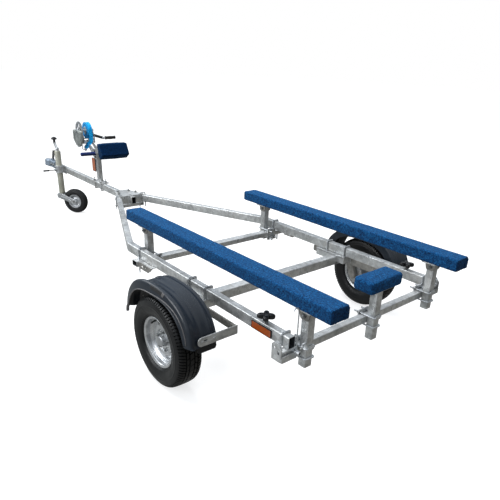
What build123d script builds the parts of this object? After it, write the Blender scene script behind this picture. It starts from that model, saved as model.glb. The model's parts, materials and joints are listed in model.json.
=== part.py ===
# Boat trailer: galvanised box-section frame, drawbar with ball coupling and
# jockey wheel, torsion axle, bunks on posts, keel pad and winch stand.
# Frame: +X forward to the coupling, +Y left, +Z up, floor at Z = 0,
# origin under the middle of the overall box.  Millimetres.
from build123d import *
import math
import os

os.makedirs("parts", exist_ok=True)

# ---------------------------------------------------------------- dimensions
LENGTH = 4870.0            # bunk rear end to coupling nose
X_AX = -1585.0             # wheel axis, in the part's frame
TYRE_R = 245.0             # 145/80 R10
TYRE_W = 142.0
WHEEL_Y = 815.0            # tyre centre plane
RIM_FLANGE_R = 139.0
BEAD_R = 127.0

RAIL_W, RAIL_H, WALL = 40.0, 60.0, 3.0
RAIL_TOP = 478.0
RAIL_BOT = RAIL_TOP - RAIL_H
RAIL_Y = 563.0             # rail centre line
RAIL_REAR = X_AX - 656.0
BEND_X = X_AX + 862.0      # bend vertex on the centre line
ARM_DEG = 22.5             # arm angle to the drawbar
BEND_R = 160.0
ARM_END_Y = 46.0           # arm centre line where it meets the drawbar

DRAW_REAR = X_AX + 1900.0
DRAW_FRONT = X_AX + 3810.0

CROSS = 40.0               # rear cross-member
REAR_CROSS_X = X_AX - 639.0
FRONT_CROSS_X = X_AX + 690.0
FRONT_CROSS_W, FRONT_CROSS_H = 60.0, 36.0
CROSS_HALF = 625.0
REAR_HALF = 631.0

AXLE_DX = 60.0             # beam centre ahead of the wheel axis
AXLE_W, AXLE_H = 60.0, 58.0
AXLE_TOP = RAIL_BOT - 12.0
AXLE_HALF = 668.0
SPINDLE_R = 17.5
SEAT_REAR, SEAT_FRONT = 92.0, 160.0      # axle seat's ends from the beam
SEAT_BOLT, SEAT_BOT = 70.0, RAIL_BOT - 48.0

POST = 45.0
BUNK_W, BUNK_T = 112.0, 68.0
BUNK_TOP = 678.0
BUNK_Y = 490.0
BUNK_REAR = X_AX - 850.0
BUNK_FRONT = X_AX + 930.0

# mudguard: its side view is a superellipse about the wheel
GUARD_A, GUARD_B, GUARD_N = 310.0, 295.0, 2.6
GUARD_CX, GUARD_CZ = X_AX, 250.0
GUARD_Y0, GUARD_Y1 = 712.0, 882.0
GUARD_REAR, GUARD_FRONT = 17.0, 167.0    # ends, degrees up from the rear
FLAP_END = 11.0
GUARD_VALANCE = 48.0       # skirt turned down along the inner edge

POST_X = X_AX + 2570.0     # winch post centre
WPOST = 42.0
DRUM_X, DRUM_Z = X_AX + 2770.0, 932.0
COIL_R, COIL_HALF = 74.0, 20.0

JX, JY = X_AX + 3425.0, 75.0     # jockey tube axis
JOUT_R, JIN_R = 30.0, 24.0
JWHEEL_R, JWHEEL_W = 130.0, 68.0
TRAIL, TRAIL_DEG = 150.0, 220.0  # fork trail and its heading

NOSE = LENGTH / 2.0


# ------------------------------------------------------------------- helpers
def box(x0, x1, y0, y1, z0, z1):
    return Pos((x0 + x1) / 2, (y0 + y1) / 2, (z0 + z1) / 2) * Box(
        abs(x1 - x0), abs(y1 - y0), abs(z1 - z0))


def cyl_x(x0, x1, y, z, r):
    return Pos((x0 + x1) / 2, y, z) * Rot(0, 90, 0) * Cylinder(r, abs(x1 - x0))


def cyl_y(y0, y1, x, z, r):
    return Pos(x, (y0 + y1) / 2, z) * Rot(90, 0, 0) * Cylinder(r, abs(y1 - y0))


def cyl_z(z0, z1, x, y, r):
    return Pos(x, y, (z0 + z1) / 2) * Cylinder(r, abs(z1 - z0))


def tube_x(x0, x1, yc, z0, z1, w, t=WALL):
    return box(x0, x1, yc - w / 2, yc + w / 2, z0, z1) - box(
        x0 - 1, x1 + 1, yc - w / 2 + t, yc + w / 2 - t, z0 + t, z1 - t)


def tube_y(y0, y1, xc, z0, z1, w, t=WALL):
    return box(xc - w / 2, xc + w / 2, y0, y1, z0, z1) - box(
        xc - w / 2 + t, xc + w / 2 - t, y0 - 1, y1 + 1, z0 + t, z1 - t)


def tube_z(z0, z1, xc, yc, w, t=WALL):
    return box(xc - w / 2, xc + w / 2, yc - w / 2, yc + w / 2, z0, z1) - box(
        xc - w / 2 + t, xc + w / 2 - t, yc - w / 2 + t, yc + w / 2 - t,
        z0 - 1, z1 + 1)


def spun(points, x, y, z, deg=360):
    """Turn an (r, across) outline about the Y axis through (x, y, z)."""
    outline = Polyline(*[(r, a) for r, a in points], close=True)
    body = revolve(make_face(outline), Axis.Y, deg)
    return Pos(x, y, z) * body


def prism_y(points, y0, y1):
    """An (x, z) outline pushed from y0 to y1."""
    outline = Polyline(*[(px, 0, pz) for px, pz in points], close=True)
    face = make_face(outline)
    return Pos(0, min(y0, y1), 0) * extrude(face, abs(y1 - y0), dir=(0, 1, 0))


def plan(points, z0, z1):
    outline = Polyline(*[(px, py, z0) for px, py in points], close=True)
    return extrude(make_face(outline), z1 - z0, dir=(0, 0, 1))


def rod(points, radius, bend):
    """A round bar bent along points."""
    path = FilletPolyline(*points, radius=bend)
    start = Plane(origin=path @ 0, z_dir=path % 0)
    return sweep(start * Circle(radius), path=path)


def mirror_y(shape):
    return mirror(shape, about=Plane.XZ)


def solids(*shapes):
    out = []
    for s in shapes:
        out.extend(s.solids())
    return Compound(children=[Solid(o.wrapped) for o in out])


parts = {}


def put(name, shape):
    parts[name] = shape


# -------------------------------------------------------------- rails, frame
arm_tan = math.tan(math.radians(ARM_DEG))
arm_end_x = BEND_X + (RAIL_Y - ARM_END_Y) / arm_tan


def side_rail():
    pts = [(RAIL_REAR, RAIL_Y, (RAIL_TOP + RAIL_BOT) / 2),
           (BEND_X, RAIL_Y, (RAIL_TOP + RAIL_BOT) / 2),
           (arm_end_x, ARM_END_Y, (RAIL_TOP + RAIL_BOT) / 2)]
    path = FilletPolyline(*pts, radius=BEND_R)
    sec = Plane(origin=path @ 0, x_dir=(0, 1, 0), z_dir=path % 0)
    outer = sweep(sec * Rectangle(RAIL_W, RAIL_H), path=path)
    inner = sweep(sec * Rectangle(RAIL_W - 2 * WALL, RAIL_H - 2 * WALL),
                  path=path)
    return outer - inner


rail = side_rail()
put("side_rail_left", rail)
put("side_rail_right", mirror_y(rail))
put("drawbar", tube_x(DRAW_REAR, DRAW_FRONT, 0, RAIL_BOT, RAIL_TOP, RAIL_W))

# joint of drawbar and arms: plate on top, channel below
JT = 8.0
JOINT_HALF = 106.0         # half length of the channel under the joint
top_plate = plan([(X_AX + 1934, -116), (X_AX + 2150, -62), (X_AX + 2150, 62),
                  (X_AX + 1934, 116)], RAIL_TOP, RAIL_TOP + JT)
low = box(X_AX + 1925, X_AX + 1985, -JOINT_HALF, JOINT_HALF, RAIL_BOT - 30,
          RAIL_BOT)
low = low - box(X_AX + 1931, X_AX + 1979, -JOINT_HALF - 8, JOINT_HALF + 8,
                RAIL_BOT - 32, RAIL_BOT - 6)
put("joint_cross_channel", low)
# webs close the gaps beside the drawbar's open end
for s in (1, -1):
    top_plate = top_plate + box(X_AX + 1936, X_AX + 1942, s * RAIL_W / 2,
                                s * 93, RAIL_BOT, RAIL_TOP)
low_plate = plan([(X_AX + 1990, -100), (X_AX + 2150, -62),
                  (X_AX + 2150, 62), (X_AX + 1990, 100)],
                 RAIL_BOT - JT, RAIL_BOT)
put("joint_plates", solids(top_plate, low_plate))

rear_end = box(REAR_CROSS_X - 29, REAR_CROSS_X + 33, REAR_HALF, REAR_HALF + 6,
               RAIL_BOT - CROSS - 4, 464)
put("rear_cross_member", tube_y(-REAR_HALF, REAR_HALF, REAR_CROSS_X,
                                RAIL_BOT - CROSS, RAIL_BOT, CROSS)
    + rear_end + mirror_y(rear_end))
put("front_cross_member", tube_y(-CROSS_HALF, CROSS_HALF, FRONT_CROSS_X,
                                 RAIL_BOT - FRONT_CROSS_H, RAIL_BOT,
                                 FRONT_CROSS_W))
put("axle_beam", tube_y(-AXLE_HALF, AXLE_HALF, X_AX + AXLE_DX,
                        AXLE_TOP - AXLE_H, AXLE_TOP, AXLE_W, 4.0))


# --------------------------------------------------- axle seats and trailing
def axle_seat():
    """Saddle between rail and beam: hollow box, notched for the beam."""
    x = X_AX + AXLE_DX
    h, y0, y1 = AXLE_W / 2, RAIL_Y - 42, RAIL_Y + 42
    seat = box(x - SEAT_REAR, x + SEAT_FRONT, y0, y1, SEAT_BOT, RAIL_BOT)
    seat = seat - box(x - h, x + h, y0 - 1, y1 + 1, SEAT_BOT - 1, AXLE_TOP)
    for s, end in ((-1, SEAT_REAR), (1, SEAT_FRONT)):
        seat = seat - box(x + s * (h + 6), x + s * (end - 6), y0 + 6, y1 - 6,
                          SEAT_BOT - 1, RAIL_BOT - 8)
        for dy in (-26, 26):
            seat = seat - cyl_z(RAIL_BOT - 9, RAIL_BOT + 1, x + s * SEAT_BOLT,
                                RAIL_Y + dy, 5.5)
    return seat


put("axle_seats", solids(axle_seat(), mirror_y(axle_seat())))


def torsion_arm():
    """Forged arm from the beam's end down to the wheel spindle."""
    ax, az = X_AX + AXLE_DX, AXLE_TOP - AXLE_H / 2
    y0, y1 = AXLE_HALF, AXLE_HALF + 24
    dx, dz = X_AX - ax, TYRE_R - az
    ln = math.hypot(dx, dz)
    ux, uz = dx / ln, dz / ln
    nx, nz = -uz, ux
    a, b = 30, 26
    web = prism_y([(ax + nx * a, az + nz * a), (X_AX + nx * b, TYRE_R + nz * b),
                   (X_AX - nx * b, TYRE_R - nz * b),
                   (ax - nx * a, az - nz * a)], y0, y1)
    arm = web + cyl_y(y0, y1, ax, az, a) + cyl_y(y0, y1, X_AX, TYRE_R, b)
    arm = arm + cyl_y(y1 - 2, WHEEL_Y + 6, X_AX, TYRE_R, SPINDLE_R)
    arm = arm + cyl_y(WHEEL_Y + 5, WHEEL_Y + 18, X_AX, TYRE_R, 11)
    return arm


put("torsion_arm_left", torsion_arm())
put("torsion_arm_right", mirror_y(torsion_arm()))


# ------------------------------------------------------------------- wheels
def wheel_hub():
    y = WHEEL_Y
    pts = [(SPINDLE_R + 0.05, -112), (62, -112), (62, -60), (48, -52),
           (48, -8), (66, -2), (66, 9.5), (29.5, 9.5), (29.5, 36), (24, 40),
           (0.5, 40), (0.5, 34), (SPINDLE_R + 2, 32), (SPINDLE_R + 2, 8),
           (SPINDLE_R + 0.05, 6)]
    return spun(pts, X_AX, y, TYRE_R)


def wheel_rim():
    pts = [(139, 51.5), (139, 46.5), (127, 44.5), (126, 24), (112, 13),
           (112, -13), (126, -24), (127, -44.5), (139, -46.5), (139, -51.5),
           (135.5, -51.5), (123.5, -47.5), (122.8, -25.5), (108.6, -14.6),
           (108.6, 2), (98, 6), (86, 17.5), (66, 17.5), (56, 9.6),
           (30, 9.6), (30, 13.6), (54, 13.6), (64, 21.5), (88, 21.5),
           (101, 9.5), (108.6, 14.6), (122.8, 25.5), (123.5, 47.5),
           (135.5, 51.5)]
    rim = spun(pts, X_AX, WHEEL_Y, TYRE_R)
    # hand holes through the dished ring
    for k in range(8):
        a = math.radians(22.5 + 45 * k)
        rim = rim - cyl_y(WHEEL_Y - 5, WHEEL_Y + 30,
                          X_AX + 90 * math.cos(a), TYRE_R + 90 * math.sin(a),
                          9.5)
    return rim


def wheel_tyre():
    pts = [(127.3, -43.5), (127.3, 43.5), (139.6, 45.6), (142, 53), (165, 66),
           (190, 71), (214, 69), (232, 62), (242, 50), (245, 30), (245, -30),
           (242, -50), (232, -62), (214, -69), (190, -71), (165, -66),
           (142, -53), (139.6, -45.6)]
    return spun(pts, X_AX, WHEEL_Y, TYRE_R)


for side, fn in (("left", lambda s: s), ("right", mirror_y)):
    put("wheel_hub_" + side, fn(wheel_hub()))
    put("wheel_rim_" + side, fn(wheel_rim()))
    put("wheel_tyre_" + side, fn(wheel_tyre()))


# --------------------------------------------------------------- mudguards
# y, outer skin and inner skin off the side-view curve
GUARD_ROWS = [
    (GUARD_Y0, 0.0, -4.0),
    (742.0, 5.0, 1.0),
    (772.0, 2.0, -2.0),
    (830.0, 3.0, -1.0),
    (850.0, 14.0, 9.0),
    (860.0, 17.0, 11.0),
    (866.0, 12.0, 4.0),
    (872.0, 0.0, -16.0),
    (878.0, -20.0, -34.0),
    (GUARD_Y1, -31.0, -34.0),
]


def guard_point(y, off, deg):
    """Point on the side-view curve, deg measured from the rear side up."""
    c, sn = math.cos(math.radians(deg)), math.sin(math.radians(deg))
    f = (abs(c / GUARD_A) ** GUARD_N
         + abs(sn / GUARD_B) ** GUARD_N) ** (-1.0 / GUARD_N)
    return (GUARD_CX - (f + off) * c, y, GUARD_CZ + (f + off) * sn)


def guard_face(y, outer, inner, a0, a1, n):
    steps = [a0 + (a1 - a0) * k / n for k in range(n + 1)]
    up = [guard_point(y, outer, d) for d in steps]
    dn = [guard_point(y, inner, d) for d in reversed(steps)]
    edges = Spline(*up) + Line(up[-1], dn[0]) + Spline(*dn) + Line(
        dn[-1], up[0])
    return make_face(edges)


def corner_cut(x0, x1, points):
    outline = Polyline(*[(x0, py, pz) for py, pz in points], close=True)
    return extrude(make_face(outline), x1 - x0, dir=(1, 0, 0))


def mudguard():
    """Curved shell: flat crown rising to a roll, then a deep outer lip and
    an inner skirt; a narrower flap carries on below its rear end."""
    shell = loft([guard_face(y, o, i, GUARD_REAR, GUARD_FRONT, 20)
                  for y, o, i in GUARD_ROWS], ruled=True)
    flap = loft([guard_face(y, o, i, FLAP_END, GUARD_REAR + 2.0, 4)
                 for y, o, i in ((GUARD_Y0 + 4, -0.6, -3.6),
                                 (GUARD_Y0 + 112, -0.4, -3.4))], ruled=True)
    z0 = guard_point(0, 0, GUARD_REAR)[2]
    shell = shell - corner_cut(GUARD_CX - 340, GUARD_CX - 220, [
        (GUARD_Y1 - 40, z0 - 40), (GUARD_Y1 + 9, z0 - 40),
        (GUARD_Y1 + 9, z0 + 34)])
    z1 = guard_point(0, 0, GUARD_FRONT)[2]
    shell = shell - corner_cut(GUARD_CX + 220, GUARD_CX + 340, [
        (GUARD_Y1 - 24, z1 - 40), (GUARD_Y1 + 9, z1 - 40),
        (GUARD_Y1 + 9, z1 + 60)])
    inner = loft([guard_face(y, -1.0, -GUARD_VALANCE, GUARD_REAR + 3.0,
                             GUARD_FRONT - 8.0, 20)
                  for y in (GUARD_Y0, GUARD_Y0 + 3)], ruled=True)
    return shell + flap + inner


guard = mudguard()
put("mudguard_left", guard)
put("mudguard_right", mirror_y(guard))


STAY_Z0, STAY_Z1 = 350.0, 398.0
STAY_Y0, STAY_Y1 = 596.0, 830.0
STAY_REAR, STAY_FRONT = X_AX - 309.0, X_AX + 309.0


def guard_carriers():
    """Flat bars fore and aft of the axle seats, carrying the guard's stays."""
    beam = X_AX + AXLE_DX
    rear = box(STAY_REAR, beam - SEAT_REAR, STAY_Y0, STAY_Y0 + 8, 352, 394)
    front = box(beam + SEAT_FRONT, STAY_FRONT, STAY_Y0, STAY_Y0 + 8, 352, 394)
    return solids(rear, front)


put("guard_carriers", solids(guard_carriers(), mirror_y(guard_carriers())))


def guard_stay(x0, x1, y1, z0, z1):
    """Flat bar out to the guard, its outer end rounded."""
    r = (z1 - z0) / 2
    bar = box(x0, x1, STAY_Y0, y1 - r, z0, z1)
    return bar + cyl_x(x0, x1, y1 - r, (z0 + z1) / 2, r)


stays = solids(guard_stay(STAY_REAR - 6, STAY_REAR, STAY_Y1, STAY_Z0,
                          STAY_Z1),
               guard_stay(STAY_FRONT, STAY_FRONT + 6, 800, 356, 390))
put("guard_stays", solids(stays, mirror_y(stays)))

# ------------------------------------------------------------ posts, bunks
REAR_POST_X = REAR_CROSS_X - CROSS / 2 - POST / 2
FRONT_POST_X = FRONT_CROSS_X + FRONT_CROSS_W / 2 + POST / 2
BRACKET_Z = BUNK_TOP - BUNK_T
# name, x, y, bottom z, top z
POSTS = [
    ("bunk_post_rear_left", REAR_POST_X, 496, 322, BRACKET_Z - 6),
    ("bunk_post_rear_right", REAR_POST_X, -496, 322, BRACKET_Z - 6),
    ("bunk_post_front_left", FRONT_POST_X, 490, 345, BRACKET_Z - 6),
    ("bunk_post_front_right", FRONT_POST_X, -490, 345, BRACKET_Z - 6),
    ("keel_post", REAR_POST_X, 8, 296, 576),
]
for group, rows in (("front_bunk_posts", POSTS[2:4]),
                    ("rear_bunk_posts", POSTS[0:2])):
    put(group, solids(*[tube_z(z0, z1, x, y, POST)
                        for name, x, y, z0, z1 in rows]))

caps = []
for name, x, y, z0, z1 in POSTS[:4]:
    s = 1 if y > 0 else -1
    caps.append(box(x - 45, x + 45, s * BUNK_Y - 50, s * BUNK_Y + 50,
                    BRACKET_Z - 6, BRACKET_Z))
put("bunk_brackets", solids(*caps))

for side, s in (("left", 1), ("right", -1)):
    put("bunk_" + side, box(BUNK_REAR, BUNK_FRONT, s * BUNK_Y - BUNK_W / 2,
                            s * BUNK_Y + BUNK_W / 2, BRACKET_Z, BUNK_TOP))

KEEL_X0, KEEL_X1 = X_AX - 741.0, X_AX - 621.0
KEEL_HALF, KEEL_Z0, KEEL_Z1 = 125.0, 584.0, 652.0
name, x, y, z0, z1 = POSTS[4]
put("keel_post", tube_z(z0, z1, x, y, POST) + box(
    x - 40, x + 40, y - 80, y + 80, z1, KEEL_Z0))
put("keel_pad", box(KEEL_X0, KEEL_X1, 8 - KEEL_HALF, 8 + KEEL_HALF, KEEL_Z0,
                    KEEL_Z1))

# ------------------------------------------------------------- winch stand
base = box(POST_X - 95, POST_X + 95, -46, 46, RAIL_TOP, RAIL_TOP + 8)
put("winch_post", base + tube_z(RAIL_TOP + 8, 770, POST_X, 0, WPOST))
bracket = prism_y([(POST_X - 26, 700), (POST_X - 26, 770), (DRUM_X - 60, 822),
                   (DRUM_X + 78, 822), (DRUM_X + 78, 814),
                   (DRUM_X - 40, 806), (POST_X + 30, 700)],
                  WPOST / 2, WPOST / 2 + 6)
bracket = bracket + mirror_y(bracket) + box(
    DRUM_X - 60, DRUM_X + 78, -WPOST / 2 - 6, WPOST / 2 + 6, 816, 822)
put("winch_bracket", bracket)

# winch frame: floor and two cheeks, the gear outside the left one
WY, WYL, GEAR_Y = 44.0, 64.0, 72.0
PIN_X, PIN_Z = DRUM_X + 80, DRUM_Z - 58
CRANK_L = 230.0
cheek = [(DRUM_X - 62, 822), (DRUM_X + 104, 822), (DRUM_X + 104, 892),
         (DRUM_X + 20, 952), (DRUM_X - 20, 952), (DRUM_X - 56, 880)]
frame = box(DRUM_X - 62, DRUM_X + 104, -WY, WYL, 822, 827)
for y0, y1 in ((WYL - 4, WYL), (-WY, -WY + 4)):
    side = prism_y(cheek, y0, y1)
    side = side - cyl_y(y0 - 1, y1 + 1, DRUM_X, DRUM_Z, 10.05)
    side = side - cyl_y(y0 - 1, y1 + 1, PIN_X, PIN_Z, 8.05)
    frame = frame + side
put("winch_frame", frame)

drum = cyl_y(-COIL_HALF - 1, COIL_HALF + 1, DRUM_X, DRUM_Z, 22)
for y0 in (-COIL_HALF - 5, COIL_HALF + 1):
    drum = drum + cyl_y(y0, y0 + 4, DRUM_X, DRUM_Z, 34)
drum = drum + cyl_y(-52, 84, DRUM_X, DRUM_Z, 10)
put("winch_drum", drum)
put("winch_strap_coil", cyl_y(-COIL_HALF, COIL_HALF, DRUM_X, DRUM_Z,
                               COIL_R)
    - cyl_y(-COIL_HALF - 1, COIL_HALF + 1, DRUM_X, DRUM_Z, 22.0))
gear = cyl_y(GEAR_Y, GEAR_Y + 8, DRUM_X, DRUM_Z, 76) - cyl_y(
    GEAR_Y - 1, GEAR_Y + 9, DRUM_X, DRUM_Z, 10)
for k in range(5):
    a = math.radians(18 + 72 * k)
    gear = gear - cyl_y(GEAR_Y - 1, GEAR_Y + 9, DRUM_X + 42 * math.cos(a),
                        DRUM_Z + 42 * math.sin(a), 19)
put("winch_gear", gear)
# pinion shaft with crank arm and grip on the right side
END_X, END_Z = PIN_X - CRANK_L, PIN_Z + 2
crank = cyl_y(-92, 84, PIN_X, PIN_Z, 8) + cyl_y(
    GEAR_Y - 2, GEAR_Y + 10, PIN_X, PIN_Z, 17)
crank = crank + cyl_y(-92, -78, PIN_X, PIN_Z, 15)
crank = crank + prism_y([(PIN_X, PIN_Z - 13), (PIN_X, PIN_Z + 13),
                         (END_X, END_Z + 10), (END_X, END_Z - 10)], -92, -84)
crank = crank + cyl_y(-205, -84, END_X, END_Z, 7)
put("winch_crank", crank)
put("winch_grip", cyl_y(-203, -104, END_X, END_Z, 15) - cyl_y(
    -206, -100, END_X, END_Z, 7.0))

COVER = [(DRUM_X - 110, 842), (DRUM_X - 62, 798), (DRUM_X + 6, 798),
         (DRUM_X + 66, 846), (DRUM_X + 66, 928), (DRUM_X + 56, 938),
         (DRUM_X - 100, 938), (DRUM_X - 110, 928)]
put("winch_cover", prism_y(COVER, 90, 116) + box(
    DRUM_X, DRUM_X + 60, WYL, 90, 822, 832))

# snubber: arm back from the post, raked pad across its end
SNUB_HALF = 127.0
SNUB = [(X_AX + 2288, 882), (X_AX + 2226, 884), (X_AX + 2176, 788),
        (X_AX + 2240, 746), (X_AX + 2262, 765)]
arm = box(X_AX + 2270, POST_X - WPOST / 2, -20, 20, 756, 796)
arm = arm + prism_y([SNUB[4], SNUB[0], (SNUB[0][0] + 6, 882),
                     (SNUB[4][0] + 6, 765)], -80, 80)
put("snubber_arm", arm)
put("bow_snubber", prism_y(SNUB, -SNUB_HALF, SNUB_HALF))
bar = solids(cyl_y(WPOST / 2 + 6.5, 162, POST_X, 748, 17),
             cyl_y(-162, -WPOST / 2 - 6.5, POST_X, 748, 17))
put("post_cross_bars", bar)
amber = solids(box(POST_X + 14, POST_X + 84, WPOST / 2, WPOST / 2 + 9, 576,
                   700),
               box(POST_X + 14, POST_X + 84, -WPOST / 2 - 9, -WPOST / 2, 576,
                   700))

# ---------------------------------------------------------------- coupling
CX = DRAW_FRONT
sleeve = box(CX - 110, CX + 60, -28, 28, RAIL_BOT - 6, RAIL_TOP + 8)
sleeve = sleeve - box(CX - 120, CX, -RAIL_W / 2, RAIL_W / 2, RAIL_BOT,
                      RAIL_TOP)
BALL_X = NOSE - 52
nose = plan([(CX + 30, -28), (BALL_X - 10, -40), (BALL_X + 16, -36),
             (NOSE - 12, -24), (NOSE, -8), (NOSE, 8), (NOSE - 12, 24),
             (BALL_X + 16, 36), (BALL_X - 10, 40), (CX + 30, 28)],
            RAIL_BOT - 6, RAIL_TOP + 4)
head = sleeve + nose
head = head - cyl_z(RAIL_BOT - 10, RAIL_BOT + 18, BALL_X, 0, 25.4)
head = head - Pos(BALL_X, 0, RAIL_BOT + 18) * Sphere(25.4)
put("coupling_head", head)
lever = box(CX - 30, CX + 40, -9, 9, RAIL_TOP + 8, RAIL_TOP + 30)
lever = lever + prism_y([(CX - 20, RAIL_TOP + 26), (CX + 8, RAIL_TOP + 26),
                         (CX - 52, RAIL_TOP + 130), (CX - 72, RAIL_TOP + 124)],
                        -14, 14)
put("coupling_lever", lever)

# ------------------------------------------------------------ jockey wheel
CLAMP_Z0, CLAMP_Z1 = 424.0, 500.0
clamp = box(JX - 55, JX + 55, RAIL_W / 2, RAIL_W / 2 + 8, 412, 496)
clamp = clamp + box(JX - 24, JX + 24, RAIL_W / 2 + 7, JY - 20, CLAMP_Z0,
                    CLAMP_Z1)
clamp = clamp + cyl_z(CLAMP_Z0, CLAMP_Z1, JX, JY, JOUT_R + 7)
clamp = clamp + box(JX - 14, JX + 14, JY + 30, JY + 50, 442, 468)
clamp = clamp - cyl_z(CLAMP_Z0 - 1, CLAMP_Z1 + 1, JX, JY, JOUT_R + 0.05)
put("jockey_clamp", clamp)
put("jockey_clamp_handle", cyl_y(JY + 50, 186, JX, 455, 5.5) + cyl_y(
    184, 242, JX, 455, 9))

TUBE_Z0, TUBE_Z1 = 207.0, 652.0
outer = cyl_z(TUBE_Z0, TUBE_Z1, JX, JY, JOUT_R) - cyl_z(
    TUBE_Z0 - 1, TUBE_Z1 - 8, JX, JY, JIN_R + 0.05)
put("jockey_outer_tube", outer)
hub = cyl_z(TUBE_Z1, TUBE_Z1 + 32, JX, JY, 17)
ctop = TUBE_Z1 + 32
carm = prism_y([(JX - 14, ctop - 18), (JX + 14, ctop - 18),
                (JX + 70, ctop + 38), (JX + 70, ctop + 48),
                (JX + 46, ctop + 48), (JX - 2, ctop), (JX - 14, ctop)],
               JY - 10, JY + 10)
put("jockey_crank", hub + carm)
put("jockey_knob", cyl_z(ctop + 48, ctop + 76, JX + 58, JY, 13) + cyl_z(
    ctop + 76, ctop + 102, JX + 58, JY, 29))

inner = cyl_z(TUBE_Z0 - 2, 520, JX, JY, JIN_R) - cyl_z(
    TUBE_Z0 - 3, 521, JX, JY, 12.05)
put("jockey_inner_tube", inner)

td = math.radians(TRAIL_DEG)
tx, ty = math.cos(td), math.sin(td)
WX, WYJ = JX + TRAIL * tx, JY + TRAIL * ty


def fork_frame(shape):
    """Local +X runs along the trail, +Y along the wheel's axle."""
    return Pos(JX, JY, 0) * Rot(0, 0, TRAIL_DEG) * shape


LEG = JWHEEL_W / 2 + 7
FTOP = TUBE_Z0 - 2.5
leg = [(-34, FTOP), (26, FTOP), (168, 150), (174, 130), (166, 112),
       (140, 108), (-34, FTOP - 42)]
fork = box(-34, 26, -LEG - 6, LEG + 6, FTOP - 8, FTOP)
for s in (1, -1):
    y0, y1 = (LEG, LEG + 6) if s > 0 else (-LEG - 6, -LEG)
    fork = fork + prism_y(leg, y0, y1)
fork = fork + cyl_z(FTOP - 2, 260, 0, 0, 12)
fork = fork + cyl_y(-LEG - 14, LEG + 14, TRAIL, JWHEEL_R, 8)
put("jockey_fork", fork_frame(fork))
jr = spun([(8.05, -34), (22, -34), (24, -20), (40, -8), (58, -8), (62, -28),
           (72, -30), (72, 30), (62, 28), (58, 8), (40, 8), (24, 20),
           (22, 34), (8.05, 34)], TRAIL, 0, JWHEEL_R)
put("jockey_rim", fork_frame(jr))
jt = spun([(72.3, -24), (72.3, 24), (82, 34), (98, 37), (114, 34), (125, 24),
           (130, 10), (130, -10), (125, -24), (114, -34), (98, -37),
           (82, -34)], TRAIL, 0, JWHEEL_R)
put("jockey_tyre", fork_frame(jt))

# ------------------------------------------------------- small rail fittings
mk = solids(box(X_AX - 545, X_AX - 405, RAIL_Y + 20, RAIL_Y + 26, 424, 466))
put("side_reflectors", solids(mk, mirror_y(mk)))
put("post_reflectors", amber)
kx = X_AX - 480
knob = cyl_z(RAIL_TOP, RAIL_TOP + 20, kx, RAIL_Y, 9) + cyl_z(
    RAIL_TOP + 16, RAIL_TOP + 42, kx, RAIL_Y, 20)
for k in range(4):
    a = math.radians(45 + 90 * k)
    knob = knob + cyl_z(RAIL_TOP + 18, RAIL_TOP + 42, kx + 30 * math.cos(a),
                        RAIL_Y + 30 * math.sin(a), 13)
put("rail_knobs", solids(knob, mirror_y(knob)))

# ------------------------------------------------------------------- export
for name, shape in parts.items():
    if isinstance(shape, list):
        shape = Compound(children=list(shape))
    export_step(shape, "parts/" + name + ".step")
print(len(parts), "nodes")
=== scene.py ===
# Boat trailer: the looks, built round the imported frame.  Metres; sizes are
# written in millimetres and scaled by MM.
import json
import math
import random

import bmesh
import bpy
from mathutils import Matrix, Vector, noise

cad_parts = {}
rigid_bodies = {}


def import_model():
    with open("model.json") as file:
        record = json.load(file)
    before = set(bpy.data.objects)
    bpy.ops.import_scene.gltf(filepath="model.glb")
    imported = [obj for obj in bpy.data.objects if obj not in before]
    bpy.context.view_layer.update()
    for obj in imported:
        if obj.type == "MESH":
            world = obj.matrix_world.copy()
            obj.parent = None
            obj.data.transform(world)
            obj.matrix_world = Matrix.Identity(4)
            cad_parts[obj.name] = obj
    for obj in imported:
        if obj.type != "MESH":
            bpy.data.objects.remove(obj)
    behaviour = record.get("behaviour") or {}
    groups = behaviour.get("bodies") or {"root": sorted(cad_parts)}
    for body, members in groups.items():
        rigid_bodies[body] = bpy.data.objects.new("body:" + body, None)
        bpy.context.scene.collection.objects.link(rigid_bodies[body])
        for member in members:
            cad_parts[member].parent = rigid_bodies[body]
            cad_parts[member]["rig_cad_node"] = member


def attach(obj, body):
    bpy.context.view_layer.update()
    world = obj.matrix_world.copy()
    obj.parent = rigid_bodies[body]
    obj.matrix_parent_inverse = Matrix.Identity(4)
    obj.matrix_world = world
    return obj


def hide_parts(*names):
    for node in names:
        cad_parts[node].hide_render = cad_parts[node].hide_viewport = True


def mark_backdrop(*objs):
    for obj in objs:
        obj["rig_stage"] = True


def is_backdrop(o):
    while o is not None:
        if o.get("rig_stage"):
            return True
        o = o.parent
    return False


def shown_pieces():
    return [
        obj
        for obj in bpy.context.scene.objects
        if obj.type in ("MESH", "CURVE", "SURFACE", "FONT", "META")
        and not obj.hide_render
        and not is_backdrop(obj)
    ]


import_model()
bpy.context.view_layer.update()
random.seed(7)
MM = 0.001

# ------------------------------------------------------------ key sizes (mm)
X_AX = -1585.0
NOSE = 2435.0
TYRE_R, TYRE_W, WHEEL_Y = 245.0, 142.0, 815.0
RAIL_W, RAIL_H, WALL = 40.0, 60.0, 3.0
RAIL_TOP, RAIL_BOT, RAIL_Y = 478.0, 418.0, 563.0
RAIL_REAR = X_AX - 656.0
BEND_X, ARM_DEG, BEND_R, ARM_END_Y = X_AX + 862.0, 22.5, 160.0, 46.0
DRAW_REAR, DRAW_FRONT = X_AX + 1900.0, X_AX + 3810.0
REAR_CROSS_X, FRONT_CROSS_X = X_AX - 639.0, X_AX + 690.0
FRONT_CROSS_W, FRONT_CROSS_H, CROSS, CROSS_HALF = 60.0, 36.0, 40.0, 625.0
AXLE_DX, AXLE_W, AXLE_H, AXLE_HALF = 60.0, 60.0, 58.0, 668.0
AXLE_TOP = RAIL_BOT - 12.0
POST = 45.0
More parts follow.
